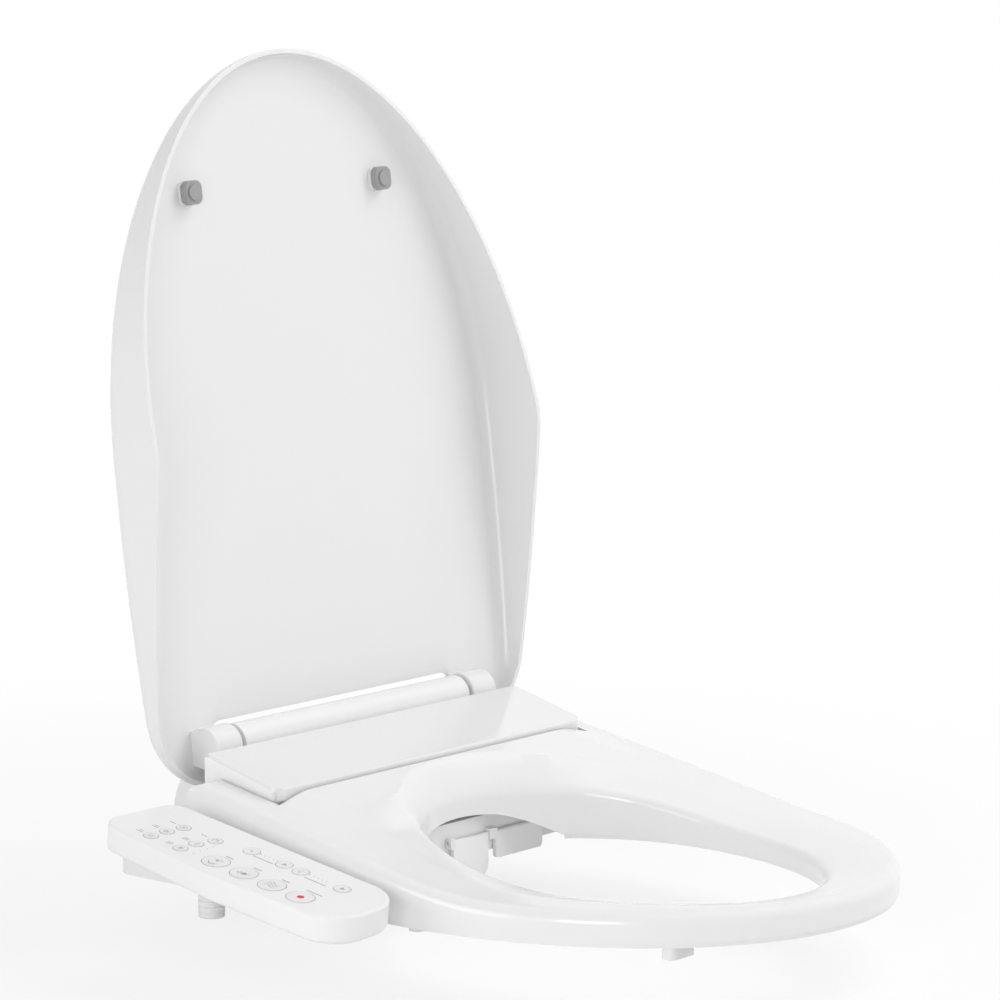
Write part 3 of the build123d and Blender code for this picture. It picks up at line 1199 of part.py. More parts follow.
with BuildPart() as panel_lower:
    with BuildSketch(panel_plane.offset(-PANEL_SEAM)):
        draw_panel(0)
    extrude(amount=PANEL_SEAM - PANEL_DEPTH)
    fillet(panel_lower.faces().sort_by(Axis(panel_plane.origin, panel_plane.z_dir))[0].edges(), PANEL_KEEL)
    with BuildSketch(panel_plane.offset(-PANEL_SEAM)):
        draw_panel(PANEL_WALL)
    extrude(amount=PANEL_SEAM - PANEL_DEPTH + PANEL_SKIN, mode=Mode.SUBTRACT)
    with BuildSketch(panel_plane.offset(PANEL_SKIN / 2 - PANEL_DEPTH)):
        with GridLocations(PANEL_POST_PITCH, PANEL_INNER, 2, 2):
            Circle(PANEL_POST)
    extrude(amount=PANEL_DEPTH - PANEL_SKIN / 2 - PANEL_BOARD_TOP - BOARD_THICK)
panel_lower.part.label = "panel_lower"
export_step(panel_lower.part, "parts/panel_lower.step")

with BuildPart() as panel_board:
    with BuildSketch(panel_plane.offset(-PANEL_BOARD_TOP)):
        draw_panel(PANEL_WALL + BOARD_THICK)
    extrude(amount=-BOARD_THICK)
panel_board.part.label = "panel_board"
export_step(panel_board.part, "parts/panel_board.step")

with BuildPart() as panel_arm:
    with BuildSketch(Plane.XY.offset(PANEL_ARM_LOW)):
        with BuildLine():
            Polyline(
                (-SHOULDER_HALF, ARM_REAR),
                (-SHOULDER_HALF, SHOULDER_FRONT + 1),
                (ARM_INSIDE, SHOULDER_FRONT - ARM_STEP),
                (ARM_INSIDE, ARM_FRONT),
                (ARM_OUTSIDE, ARM_FRONT),
                (ARM_OUTSIDE, SHOULDER_FRONT - ARM_STEP),
                (ARM_OUTSIDE + ARM_TAPER, ARM_REAR),
                close=True,
            )
        arm_outline = make_face()
        fillet(arm_outline.vertices().sort_by(Axis.X)[:3], ARM_STEP)
    extrude(amount=PANEL_Z)
    split(bisect_by=panel_underside, keep=Keep.BOTTOM)
panel_arm.part.label = "panel_arm"
export_step(panel_arm.part, "parts/panel_arm.step")

with BuildPart() as panel_foot:
    with BuildSketch(Plane.XY):
        with Locations((FOOT_X, FOOT_Y)):
            Circle(FOOT_RADIUS)
    extrude(amount=PANEL_Z)
    fillet(panel_foot.faces().sort_by(Axis.Z)[0].edges(), SOFT_EDGE)
    split(bisect_by=panel_underside, keep=Keep.BOTTOM)
panel_foot.part.label = "panel_foot"
export_step(panel_foot.part, "parts/panel_foot.step")

for key_name, (key_x, key_y, key_radius) in KEYS.items():
    with BuildPart() as key:
        with BuildSketch(panel_plane.offset(KEY_PROUD)):
            with Locations((key_x, key_y)):
                Circle(key_radius)
        extrude(amount=-KEY_PROUD - PANEL_SKIN - GAP)
        with BuildSketch(panel_plane.offset(-PANEL_SKIN - GAP)):
            with Locations((key_x, key_y)):
                Circle(key_radius + KEY_FLANGE)
        extrude(amount=-KEY_FLANGE_THICK)
        with BuildSketch(panel_plane.offset(-PANEL_SKIN - GAP)):
            with Locations((key_x, key_y)):
                Circle(KEY_STEM)
        extrude(amount=PANEL_SKIN + GAP + KEY_TRAVEL + KEY_PROUD / 2 - PANEL_BOARD_TOP)
    key.part.label = key_name
    export_step(key.part, f"parts/{key_name}.step")
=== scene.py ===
from math import asin, cos, exp, hypot, log, pi, radians, sin, sqrt, tan, tanh

import bmesh
import bpy
from mathutils import Matrix, Vector


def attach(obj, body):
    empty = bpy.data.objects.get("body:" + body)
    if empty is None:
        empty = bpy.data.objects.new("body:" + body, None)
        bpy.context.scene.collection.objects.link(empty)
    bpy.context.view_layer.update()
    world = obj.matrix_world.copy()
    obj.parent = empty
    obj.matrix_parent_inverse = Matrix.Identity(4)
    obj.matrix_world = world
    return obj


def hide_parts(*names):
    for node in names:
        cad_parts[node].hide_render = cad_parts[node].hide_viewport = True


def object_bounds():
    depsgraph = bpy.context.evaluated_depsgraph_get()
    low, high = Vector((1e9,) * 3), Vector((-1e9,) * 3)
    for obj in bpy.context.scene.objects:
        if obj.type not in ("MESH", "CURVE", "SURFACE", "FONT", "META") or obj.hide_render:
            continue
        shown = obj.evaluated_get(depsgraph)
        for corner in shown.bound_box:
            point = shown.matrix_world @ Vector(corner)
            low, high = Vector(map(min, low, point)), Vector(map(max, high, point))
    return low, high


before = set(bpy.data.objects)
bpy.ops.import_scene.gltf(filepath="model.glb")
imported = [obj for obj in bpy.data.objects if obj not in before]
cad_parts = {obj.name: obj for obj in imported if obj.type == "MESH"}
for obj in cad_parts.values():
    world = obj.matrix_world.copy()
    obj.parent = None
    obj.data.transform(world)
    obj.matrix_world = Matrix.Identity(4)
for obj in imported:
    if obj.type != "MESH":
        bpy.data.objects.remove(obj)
cad_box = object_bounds()

# An electric bidet seat with its lid open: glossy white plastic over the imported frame.
# Lengths are in metres, +Z is up, the front is towards -Y and the control panel is on the -X side.

# Lid, in its own frame: across, up from the hinge, forward of the hinge
HINGE_Y = -0.035
HINGE_Z = 0.086
LID_LEAN = radians(7.3)
LID_HALF = 0.192
LID_WIDEST = 0.185
LID_REACH = 0.4547
LID_REAR = -0.026
LID_REAR_HALF = 0.179
LID_CORNER = 0.054
LID_DOME = 0.012
LID_DRAFT = radians(5.0)
LID_BACK = 0.0135
LID_BACK_TIP = 0.0124
LID_THINS_FROM = 0.25
LID_WALL = 0.0032
RIM_LINE = ((-0.052, -0.005), (0.022, 0.005), (0.188, 0.0365), (0.510, -0.006))
RIM_EDGE = 0.0012
RIM_SEGMENTS = 3
RIM_SHARP = 50
RIM_KINK_SOFT = 0.0012
REAR_STEPS = 24
CORNER_STEPS = 16
SIDE_STEPS = 30
TIP_STEPS = 72
BEND_ROWS = 12
SKIRT_ROWS = 12
PANEL_RINGS = (0.9, 0.75, 0.6, 0.45, 0.3, 0.15)
NOTCH_HALF = 0.124
NOTCH_TOP = 0.015
NOTCH_CORNER = 0.012
NOTCH_STEPS = 8
KNUCKLE_RADIUS = 0.014
KNUCKLE_INNER = 0.117
KNUCKLE_OUTER = 0.141
KNUCKLE_BORE = 0.1365
KNUCKLE_WEB = 0.012
KNUCKLE_SINK = 0.00005
KNUCKLE_STEPS = 72
LID_PIN_RADIUS = 0.005
PIN_SLACK = 0.0002
LID_CREASE = 40

# Seat
PIVOT_Y = -0.066
PIVOT_Z = 0.058
SEAT_HALF = 0.183
SEAT_WIDEST = -0.235
SEAT_FRONT = -0.4579
SEAT_SEAM = 0.011
SEAT_CREST = 0.030
SEAT_RISE = 0.19
SEAT_RISE_FROM = -0.285
SEAT_BLEND = 0.015
SEAT_CROWN = 0.007
SEAT_CROWN_FROM = -0.200
SEAT_CROWN_HALF = 0.120
SEAT_DISH_FRONT = 0.008
SEAT_DISH_REAR = 0.023
SEAT_DISH_WIDTH = 0.040
SEAT_DISH_WIDTH_REAR = 0.016
SEAT_DISH_SLOPE = 0.3
SEAT_DISH_LIMIT = 2.0
SEAT_DISH_EASE = 0.35
SEAT_EDGE_RADIUS = 0.008
SEAT_LIP_RADIUS = 0.005
SEAT_STEP_FRONT = -0.165
SEAT_STEP_REAR = -0.140
SEAT_STEP_Z = 0.028
SEAT_STEP_CLIMB = 0.009
SEAT_COLUMNS = 320
SEAT_LIP_STEPS = 5
SEAT_TOP_STEPS = 24
SEAT_EDGE_STEPS = 7
SEAT_LEAST_LEAN = 0.35
SEAT_REAR_EDGE = 0.0005
SEAT_CREASE = 35
OPENING_HALF = 0.109
OPENING_MIDDLE = -0.258
OPENING_FRONT = -0.416
OPENING_REAR = -0.134
ARM_INNER = 0.1575
ARM_HALF = 0.176
ARM_RADIUS = 0.014
SHOULDER_HALF = 0.170
COVER_FRONT = -0.1155
COVER_FRONT_Z = 0.072
BRIDGE_GAP = 0.001
BAY_STEPS = 60
ARM_END_STEPS = 20
BELOW_SEAT = -0.01
FAR = 0.3

# Smoothing of the moulded pieces, in degrees
MOULD_CREASE = 32
FOOT_CREASE = 50
MARK_CREASE = 40


def mesh_object(name, mesh, material):
    """A piece at the origin, with its place in its mesh."""
    piece = bpy.data.objects.new(name, mesh)
    bpy.context.scene.collection.objects.link(piece)
    mesh.materials.clear()
    mesh.materials.append(material)
    return piece


def settle(piece):
    """Turn a piece's modifiers into plain mesh."""
    graph = bpy.context.evaluated_depsgraph_get()
    mesh = bpy.data.meshes.new_from_object(piece.evaluated_get(graph))
    piece.modifiers.clear()
    old = piece.data
    piece.data = mesh
    bpy.data.meshes.remove(old)


def smooth_by_angle(mesh, degrees):
    """Smooth shading, with edges sharper than the angle kept crisp."""
    work = bmesh.new()
    work.from_mesh(mesh)
    for face in work.faces:
        face.smooth = True
    for edge in work.edges:
        edge.smooth = len(edge.link_faces) == 2 and edge.calc_face_angle(0) < radians(degrees)
    work.to_mesh(mesh)
    work.free()


def closed_solid(name, low, high):
    """A closed solid between two loops of as many points."""
    work = bmesh.new()
    ends = [[work.verts.new(point) for point in loop] for loop in (low, high)]
    work.faces.new(ends[0])
    work.faces.new(ends[1])
    for k in range(len(low)):
        n = (k + 1) % len(low)
        work.faces.new((ends[0][k], ends[0][n], ends[1][n], ends[1][k]))
    bmesh.ops.recalc_face_normals(work, faces=work.faces)
    mesh = bpy.data.meshes.new(name)
    work.to_mesh(mesh)
    work.free()
    solid = bpy.data.objects.new(name, mesh)
    bpy.context.scene.collection.objects.link(solid)
    return solid


def block(name, low, high):
    """A box between two corners."""
    square = [(low[0], low[1]), (high[0], low[1]), (high[0], high[1]), (low[0], high[1])]
    return closed_solid(name, *[[(x, y, z) for x, y in square] for z in (low[2], high[2])])


def lathe_mesh(name, place, profile, count=48):
    """A profile of radius and height turned round an upright line, with its ends on that line."""
    work = bmesh.new()
    rings = []
    for radius, height in profile:
        turns = [2 * pi * k / count for k in range(count)] if radius else [0.0]
        rings.append([
            work.verts.new((place[0] + radius * cos(t), place[1] + radius * sin(t), height)) for t in turns
        ])
    for one, two in zip(rings, rings[1:]):
        for k in range(count):
            n = (k + 1) % count
            corners = [one[k % len(one)], one[n % len(one)], two[n % len(two)], two[k % len(two)]]
            work.faces.new(list(dict.fromkeys(corners)))
    bmesh.ops.recalc_face_normals(work, faces=work.faces)
    mesh = bpy.data.meshes.new(name)
    work.to_mesh(mesh)
    work.free()
    return mesh


def cut_away(piece, cutters):
    """Cut solids out of a piece and throw the cutters away."""
    for cutter in cutters:
        cut = piece.modifiers.new(cutter.name, "BOOLEAN")
        cut.operation = "DIFFERENCE"
        cut.solver = "EXACT"
        cut.object = cutter
    settle(piece)
    for cutter in cutters:
        bpy.data.objects.remove(cutter)


def round_edges(piece, width, segments, degrees):
    """Round the edges of a piece that are sharper than the angle."""
    edge = piece.modifiers.new("edges", "BEVEL")
    edge.width = width
    edge.segments = segments
    edge.limit_method = "ANGLE"
    edge.angle_limit = radians(degrees)
    settle(piece)


def between(low, high, value):
    """0 below low, 1 above high, with a smooth climb between."""
    share = min(max((value - low) / (high - low), 0.0), 1.0)
    return share**3 * (10 - 15 * share + 6 * share**2)


# Finishes
CLOUD_SCALE = 9.0
CLOUD_SHADE = 0.985
GLOSS_SCALE = 60.0
GLOSS_LOW = 0.85
GLOSS_HIGH = 1.15
PEEL_SCALE = 1400.0
RUBBER_PEEL_SCALE = 900.0
PEEL_STRENGTH = 0.02
PEEL_HEIGHT = 0.0002
PLASTIC_IOR = 1.5
COAT_ROUGHNESS = 0.06


def plastic(name, tint, roughness, coat, grain=PEEL_SCALE):
    """A moulded finish: faint clouding, slightly uneven gloss and a very fine orange peel."""
    material = bpy.data.materials.new(name)
    material.use_nodes = True
    nodes = material.node_tree.nodes
    links = material.node_tree.links
    shader = nodes["Principled BSDF"]
    place = nodes.new("ShaderNodeTexCoord")
    cloud = nodes.new("ShaderNodeTexNoise")
    cloud.inputs["Scale"].default_value = CLOUD_SCALE
    cloud.inputs["Detail"].default_value = 3.0
    tone = nodes.new("ShaderNodeMix")
    tone.data_type = "RGBA"
    tone.inputs[6].default_value = (*[c * CLOUD_SHADE for c in tint], 1)
    tone.inputs[7].default_value = (*tint, 1)
    gloss = nodes.new("ShaderNodeTexNoise")
    gloss.inputs["Scale"].default_value = GLOSS_SCALE
    gloss.inputs["Detail"].default_value = 4.0
    spread = nodes.new("ShaderNodeMapRange")
    spread.inputs["To Min"].default_value = roughness * GLOSS_LOW
    spread.inputs["To Max"].default_value = roughness * GLOSS_HIGH
    peel = nodes.new("ShaderNodeTexNoise")
    peel.inputs["Scale"].default_value = grain
    peel.inputs["Detail"].default_value = 2.0
    bump = nodes.new("ShaderNodeBump")
    bump.inputs["Strength"].default_value = PEEL_STRENGTH
    bump.inputs["Distance"].default_value = PEEL_HEIGHT
    for texture in (cloud, gloss, peel):
        links.new(place.outputs["Object"], texture.inputs["Vector"])
    links.new(cloud.outputs["Fac"], tone.inputs["Factor"])
    links.new(tone.outputs[2], shader.inputs["Base Color"])
    links.new(gloss.outputs["Fac"], spread.inputs["Value"])
    links.new(spread.outputs["Result"], shader.inputs["Roughness"])
    links.new(peel.outputs["Fac"], bump.inputs["Height"])
    links.new(bump.outputs["Normal"], shader.inputs["Normal"])
    shader.inputs["IOR"].default_value = PLASTIC_IOR
    shader.inputs["Coat Weight"].default_value = coat
    shader.inputs["Coat Roughness"].default_value = COAT_ROUGHNESS
    return material


lid_white = plastic("lid_white", (0.83, 0.83, 0.83), 0.22, 0.25)
seat_white = plastic("seat_white", (0.835, 0.835, 0.835), 0.2, 0.3)
base_white = plastic("base_white", (0.86, 0.86, 0.86), 0.24, 0.2)
cover_white = plastic("cover_white", (0.8, 0.8, 0.8), 0.04, 1.0)
panel_white = plastic("panel_white", (0.87, 0.87, 0.87), 0.3, 0.1)
key_white = plastic("key_white", (0.82, 0.82, 0.82), 0.35, 0.0)
# Painted light: the nozzle gate and dryer flap sit in the seat's shade, so their white is made lighter than
# the other whites to lift that shade
flap_white = plastic("flap_white", (0.92, 0.92, 0.92), 0.25, 0.2)
nozzle_white = plastic("nozzle_white", (0.8, 0.8, 0.79), 0.25, 0.1)
inlet_white = plastic("inlet_white", (0.78, 0.78, 0.77), 0.35, 0.0)
tank_cream = plastic("tank_cream", (0.72, 0.68, 0.58), 0.4, 0.0)
print_grey = plastic("print_grey", (0.38, 0.385, 0.39), 0.5, 0.0)
stop_red = plastic("stop_red", (0.75, 0.02, 0.03), 0.4, 0.0)
tip_rubber = plastic("tip_rubber", (0.36, 0.36, 0.36), 0.6, 0.0, RUBBER_PEEL_SCALE)
pad_rubber = plastic("pad_rubber", (0.8, 0.8, 0.795), 0.6, 0.0, RUBBER_PEEL_SCALE)
plate_grey = plastic("plate_grey", (0.42, 0.43, 0.44), 0.45, 0.0)
damper_black = plastic("damper_black", (0.02, 0.02, 0.021), 0.45, 0.0)
board_green = plastic("board_green", (0.03, 0.16, 0.06), 0.4, 0.2)
film_amber = plastic("film_amber", (0.55, 0.27, 0.05), 0.3, 0.2)
pin_steel = plastic("pin_steel", (0.6, 0.6, 0.61), 0.25, 0.0)
motor_metal = plastic("motor_metal", (0.5, 0.5, 0.51), 0.4, 0.0)
for steel in (pin_steel, motor_metal):
    steel.node_tree.nodes["Principled BSDF"].inputs["Metallic"].default_value = 1.0


# Lid
def lid_point(across, up, forward):
    """A point of the lid in the frame of the whole part."""
    return Vector((
        across,
        HINGE_Y + up * sin(LID_LEAN) - forward * cos(LID_LEAN),
        HINGE_Z + up * cos(LID_LEAN) + forward * sin(LID_LEAN),
    ))


def lid_outline():
    """The lid's egg outline with its outward directions, once round from the middle of the rear edge."""
    sag = LID_HALF - LID_REAR_HALF
    drop = LID_WIDEST - LID_REAR
    side_radius = (sag**2 + drop**2) / (2 * sag)
    side_middle = LID_HALF - side_radius
    corner_up = LID_REAR + LID_CORNER
    reach = side_radius - LID_CORNER
    corner_across = side_middle + sqrt(reach**2 - (LID_WIDEST - corner_up) ** 2)
    turn = asin((corner_up - LID_WIDEST) / reach)
    half = [(corner_across * i / REAR_STEPS, LID_REAR, 0.0, -1.0) for i in range(REAR_STEPS)]
    for i in range(CORNER_STEPS):
        angle = -pi / 2 + (turn + pi / 2) * i / CORNER_STEPS
        across, up = cos(angle), sin(angle)
        half.append((corner_across + LID_CORNER * across, corner_up + LID_CORNER * up, across, up))
    for i in range(SIDE_STEPS):
        angle = turn * (1 - i / SIDE_STEPS)
        across, up = cos(angle), sin(angle)
        half.append((side_middle + side_radius * across, LID_WIDEST + side_radius * up, across, up))
    tall = LID_REACH - LID_WIDEST
    for i in range(TIP_STEPS):
        angle = pi / 2 * i / TIP_STEPS
        out = Vector((cos(angle) / LID_HALF, sin(angle) / tall)).normalized()
        half.append((LID_HALF * cos(angle), LID_WIDEST + tall * sin(angle), out.x, out.y))
    top = [(0.0, LID_REACH, 0.0, 1.0)]
    return half + top + [(-u, v, -nu, nv) for u, v, nu, nv in reversed(half[1:])]


def rim_forward(up):
    """How far forward the rim reaches at a height up the lid, with the kink softened."""
    (v0, w0), (v1, w1), (v2, w2), (v3, w3) = RIM_LINE
    lines = [
        w0 + (w1 - w0) * (up - v0) / (v1 - v0),
        w1 + (w2 - w1) * (up - v1) / (v2 - v1),
        w2 + (w3 - w2) * (up - v2) / (v3 - v2),
    ]
    low = max(lines[0], lines[1])
    return -RIM_KINK_SOFT * log(exp(-low / RIM_KINK_SOFT) + exp(-lines[2] / RIM_KINK_SOFT))


def lid_back(up):
    """How far behind the hinge the lid's outer panel lies at a height up the lid."""
    return LID_BACK + (LID_BACK_TIP - LID_BACK) * between(LID_THINS_FROM, LID_REACH, up)


def lid_section(column, inset):
    """Points of the shell's section from its panel to its rim, on the outer or the inner face."""
    u, v, nu, nv = column
    back = lid_back(v)
    rim = rim_forward(v - nv * inset)
    bend_forward = LID_DOME - back
    bend_inward = (LID_DOME + (rim - bend_forward) * sin(LID_DRAFT)) / cos(LID_DRAFT)
    radius = LID_DOME - inset
    points = []
    for k in range(BEND_ROWS + 1):
        turn = (pi / 2 - LID_DRAFT) * k / BEND_ROWS
        points.append((bend_inward - radius * sin(turn), bend_forward - radius * cos(turn)))
    start_inward, start_forward = points[-1]
    for k in range(1, SKIRT_ROWS + 1):
        forward = start_forward + (rim - start_forward) * k / SKIRT_ROWS
        points.append((start_inward - (forward - start_forward) * tan(LID_DRAFT), forward))
    return [(u - nu * inward, v - nv * inward, forward) for inward, forward in points]


def lid_mesh():
    """The domed shell: a flat panel, a rounded corner and a skirt up to the rim."""
    outline = lid_outline()
    count = len(outline)
    rows = BEND_ROWS + SKIRT_ROWS
    middle_up = (LID_REAR + LID_REACH) / 2
    work = bmesh.new()
    faces = []
    for inset in (0.0, LID_WALL):
        sections = [lid_section(column, inset) for column in outline]
        grid = [[work.verts.new(lid_point(*point)) for point in section] for section in sections]
        faces.append(grid)
        for j in range(count):
            here, there = grid[j], grid[(j + 1) % count]
            for k in range(rows):
                work.faces.new((here[k], here[k + 1], there[k + 1], there[k]))
        # panel: rings that close on its middle
        ring = [column[0] for column in grid]
        for share in PANEL_RINGS:
            new = []
            for section in sections:
                u, v, _ = section[0]
                up = middle_up + (v - middle_up) * share
                new.append(work.verts.new(lid_point(u * share, up, inset - lid_back(up))))
            for j in range(count):
                i = (j + 1) % count
                work.faces.new((ring[j], ring[i], new[i], new[j]))
            ring = new
        hub = work.verts.new(lid_point(0, middle_up, inset - lid_back(middle_up)))
        for j in range(count):
            work.faces.new((ring[j], ring[(j + 1) % count], hub))
    outer, inner = faces
    for j in range(count):
        i = (j + 1) % count
        work.faces.new((outer[j][rows], inner[j][rows], inner[i][rows], outer[i][rows]))
    bmesh.ops.recalc_face_normals(work, faces=work.faces)
    mesh = bpy.data.meshes.new("lid")
    work.to_mesh(mesh)
    work.free()
    return mesh


def hinge_notch():
    """The cutter for the hinge ridge: a wide slot with rounded upper corners."""
    corner_across = NOTCH_HALF - NOTCH_CORNER
    corner_up = NOTCH_TOP - NOTCH_CORNER
    loop = [(-NOTCH_HALF, 2 * LID_REAR), (NOTCH_HALF, 2 * LID_REAR)]
    for side, start in ((1, 0.0), (-1, pi / 2)):
        for i in range(NOTCH_STEPS + 1):
            turn = start + pi / 2 * i / NOTCH_STEPS
            across = side * corner_across + NOTCH_CORNER * cos(turn)
            loop.append((across, corner_up + NOTCH_CORNER * sin(turn)))
    depth = 2 * LID_DOME
    return closed_solid("notch", *[[lid_point(u, v, w) for u, v in loop] for w in (-depth, depth)])


def knuckle_reach(turn):
    """How far a knuckle's outline lies from its pin: a barrel on a web, kept inside the lid's outer skin."""
    up, forward = cos(turn), sin(turn)
    if forward >= 0:
        return KNUCKLE_RADIUS
    skin = (KNUCKLE_SINK - LID_BACK) / forward
    web = KNUCKLE_WEB / max(abs(up), 1e-6)
    return min(max(KNUCKLE_RADIUS, min(web, skin)), skin)


def lid_knuckle(side):
    """One of the two barrels that turn on the hinge pins, with a blind bore."""
    count = KNUCKLE_STEPS
    turns = [2 * pi * k / count for k in range(count)]
    work = bmesh.new()
    bore_radius = LID_PIN_RADIUS + PIN_SLACK
    ends = ((KNUCKLE_OUTER, False), (KNUCKLE_INNER, False), (KNUCKLE_INNER, True), (KNUCKLE_BORE, True))
    loops = []
    for across, bore in ends:
        loop = []
        for turn in turns:
            reach = bore_radius if bore else knuckle_reach(turn)
            loop.append(work.verts.new(lid_point(side * across, reach * cos(turn), reach * sin(turn))))
        loops.append(loop)
    for one, two in zip(loops, loops[1:]):
        for k in range(count):
            n = (k + 1) % count
            work.faces.new((one[k], one[n], two[n], two[k]))
    work.faces.new(loops[0])
    work.faces.new(loops[-1])
    bmesh.ops.recalc_face_normals(work, faces=work.faces)
    mesh = bpy.data.meshes.new("knuckle")
    work.to_mesh(mesh)
    work.free()
    return mesh_object("knuckle", mesh, lid_white)


def join_in(piece, others):
    """Add other pieces' meshes to a piece's own."""
    work = bmesh.new()
    work.from_mesh(piece.data)
    for other in others:
        work.from_mesh(other.data)
        bpy.data.objects.remove(other)
    work.to_mesh(piece.data)
    work.free()


lid = mesh_object("lid", lid_mesh(), lid_white)
cut_away(lid, [hinge_notch()])
round_edges(lid, RIM_EDGE, RIM_SEGMENTS, RIM_SHARP)
knuckles = [lid_knuckle(side) for side in (-1, 1)]
for knuckle in knuckles:
    round_edges(knuckle, RIM_EDGE, RIM_SEGMENTS, RIM_SHARP)
join_in(lid, knuckles)
smooth_by_angle(lid.data, LID_CREASE)
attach(lid, "lid")
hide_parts("lid_shell")


# Seat
def seat_outer(angle):
    """The seat's outer edge in a direction from the middle of its opening, with its outward direction."""
    dx, dy = cos(angle), sin(angle)
    sag = SEAT_HALF - ARM_HALF
    rear = PIVOT_Y + ARM_RADIUS
    drop = rear - SEAT_WIDEST
    side_radius = (sag**2 + drop**2) / (2 * sag)
    side_middle = SEAT_HALF - side_radius
    low, high = 0.05, 0.5
    for _ in range(50):
        reach = (low + high) / 2
        x, y = reach * dx, OPENING_MIDDLE + reach * dy
        if y < SEAT_WIDEST:
            inside = (x / SEAT_HALF) ** 2 + ((y - SEAT_WIDEST) / (SEAT_WIDEST - SEAT_FRONT)) ** 2 < 1
        else:
            inside = hypot(abs(x) - side_middle, y - SEAT_WIDEST) < side_radius and y < rear
        if inside:
            low = reach
        else:
            high = reach
    x, y = low * dx, OPENING_MIDDLE + low * dy
    if y < SEAT_WIDEST:
        out = Vector((x / SEAT_HALF**2, (y - SEAT_WIDEST) / (SEAT_WIDEST - SEAT_FRONT) ** 2)).normalized()
    elif y > rear - 1e-5:
        out = Vector((0, 1))
    else:
        out = Vector(((abs(x) - side_middle) * (1 if x > 0 else -1), y - SEAT_WIDEST)).normalized()
    return low, out


def seat_height(x, y):
    """The seat's upper skin: climbing to the hinge, crowned behind and dished round the opening."""
    climb = SEAT_RISE * SEAT_BLEND * log(1 + exp((y - SEAT_RISE_FROM) / SEAT_BLEND))
    crown = 1 - between(SEAT_CROWN_HALF, ARM_HALF, abs(x))
    behind = between(SEAT_CROWN_FROM, OPENING_REAR, y)
    reach = OPENING_MIDDLE - OPENING_FRONT if y < OPENING_MIDDLE else OPENING_REAR - OPENING_MIDDLE
    ratio = max(hypot(x / OPENING_HALF, (y - OPENING_MIDDLE) / reach), 0.01)
    from_lip = hypot(x, y - OPENING_MIDDLE) * (1 - 1 / ratio)
    width = SEAT_DISH_WIDTH + (SEAT_DISH_WIDTH_REAR - SEAT_DISH_WIDTH) * behind
    near = max(0.0, SEAT_DISH_LIMIT * tanh((1 - from_lip / width) / SEAT_DISH_LIMIT))
    depth = SEAT_DISH_FRONT + (SEAT_DISH_REAR - SEAT_DISH_FRONT) * behind
    blend = near**2 * (1 - SEAT_DISH_SLOPE) + SEAT_DISH_SLOPE * near * between(0, SEAT_DISH_EASE, near)
    return SEAT_CREST + climb + SEAT_CROWN * crown * behind - depth * blend


def seat_mesh():
    """The ring as one closed band of sections round the opening."""
    work = bmesh.new()
    bands = []
    for j in range(SEAT_COLUMNS):
        angle = 2 * pi * j / SEAT_COLUMNS
        dx, dy = cos(angle), sin(angle)
        reach_y = OPENING_MIDDLE - OPENING_FRONT if dy < 0 else OPENING_REAR - OPENING_MIDDLE
        lip = 1 / hypot(dx / OPENING_HALF, dy / reach_y)
        out, normal = seat_outer(angle)
        lean = max(SEAT_LEAST_LEAN, normal.x * dx + normal.y * dy)
        lip_normal = Vector((dx / OPENING_HALF**2, dy / reach_y**2)).normalized()
        lip_lean = max(SEAT_LEAST_LEAN, lip_normal.x * dx + lip_normal.y * dy)
        rounded = normal.y < 0.999
        band = []

        def add(reach, drop, at_seam=False):
            x, y = reach * dx, OPENING_MIDDLE + reach * dy
            z = SEAT_SEAM if at_seam else seat_height(x, y) - drop
            band.append(work.verts.new((x, y, z)))

        add(lip, 0, True)
        for k in range(SEAT_LIP_STEPS + 1):
            turn = pi / 2 * k / SEAT_LIP_STEPS
            add(lip + SEAT_LIP_RADIUS * (1 - cos(turn)) / lip_lean, SEAT_LIP_RADIUS * (1 - sin(turn)))
        start = lip + SEAT_LIP_RADIUS / lip_lean
        stop = out - (SEAT_EDGE_RADIUS / lean if rounded else 0)
        for k in range(1, SEAT_TOP_STEPS):
            add(start + (stop - start) * k / SEAT_TOP_STEPS, 0)
        for k in range(SEAT_EDGE_STEPS + 1):
            turn = pi / 2 * (1 - k / SEAT_EDGE_STEPS)
            if rounded:
                add(out - SEAT_EDGE_RADIUS * (1 - cos(turn)) / lean, SEAT_EDGE_RADIUS * (1 - sin(turn)))
            else:
                add(out - SEAT_REAR_EDGE * (SEAT_EDGE_STEPS - k) / SEAT_EDGE_STEPS, 0)
        add(out, 0, True)
        bands.append(band)
    for j in range(SEAT_COLUMNS):
        here, there = bands[j], bands[(j + 1) % SEAT_COLUMNS]
        for k in range(len(here)):
            n = (k + 1) % len(here)
            work.faces.new((here[k], here[n], there[n], there[k]))
    bmesh.ops.recalc_face_normals(work, faces=work.faces)
    mesh = bpy.data.meshes.new("seat")
    work.to_mesh(mesh)
    work.free()
    return mesh


def prism(name, profile, half):
    """A cutter: a profile in the YZ plane, drawn out both ways across."""
    return closed_solid(name, *[[(side * half, y, z) for y, z in profile] for side in (-1, 1)])


def arc_points(middle, radius, start, stop, count):
    """Points along an arc in the YZ plane, by angle from +Y."""
    return [
        (middle[0] + radius * cos(start + (stop - start) * i / count),
         middle[1] + radius * sin(start + (stop - start) * i / count))
        for i in range(count + 1)
    ]


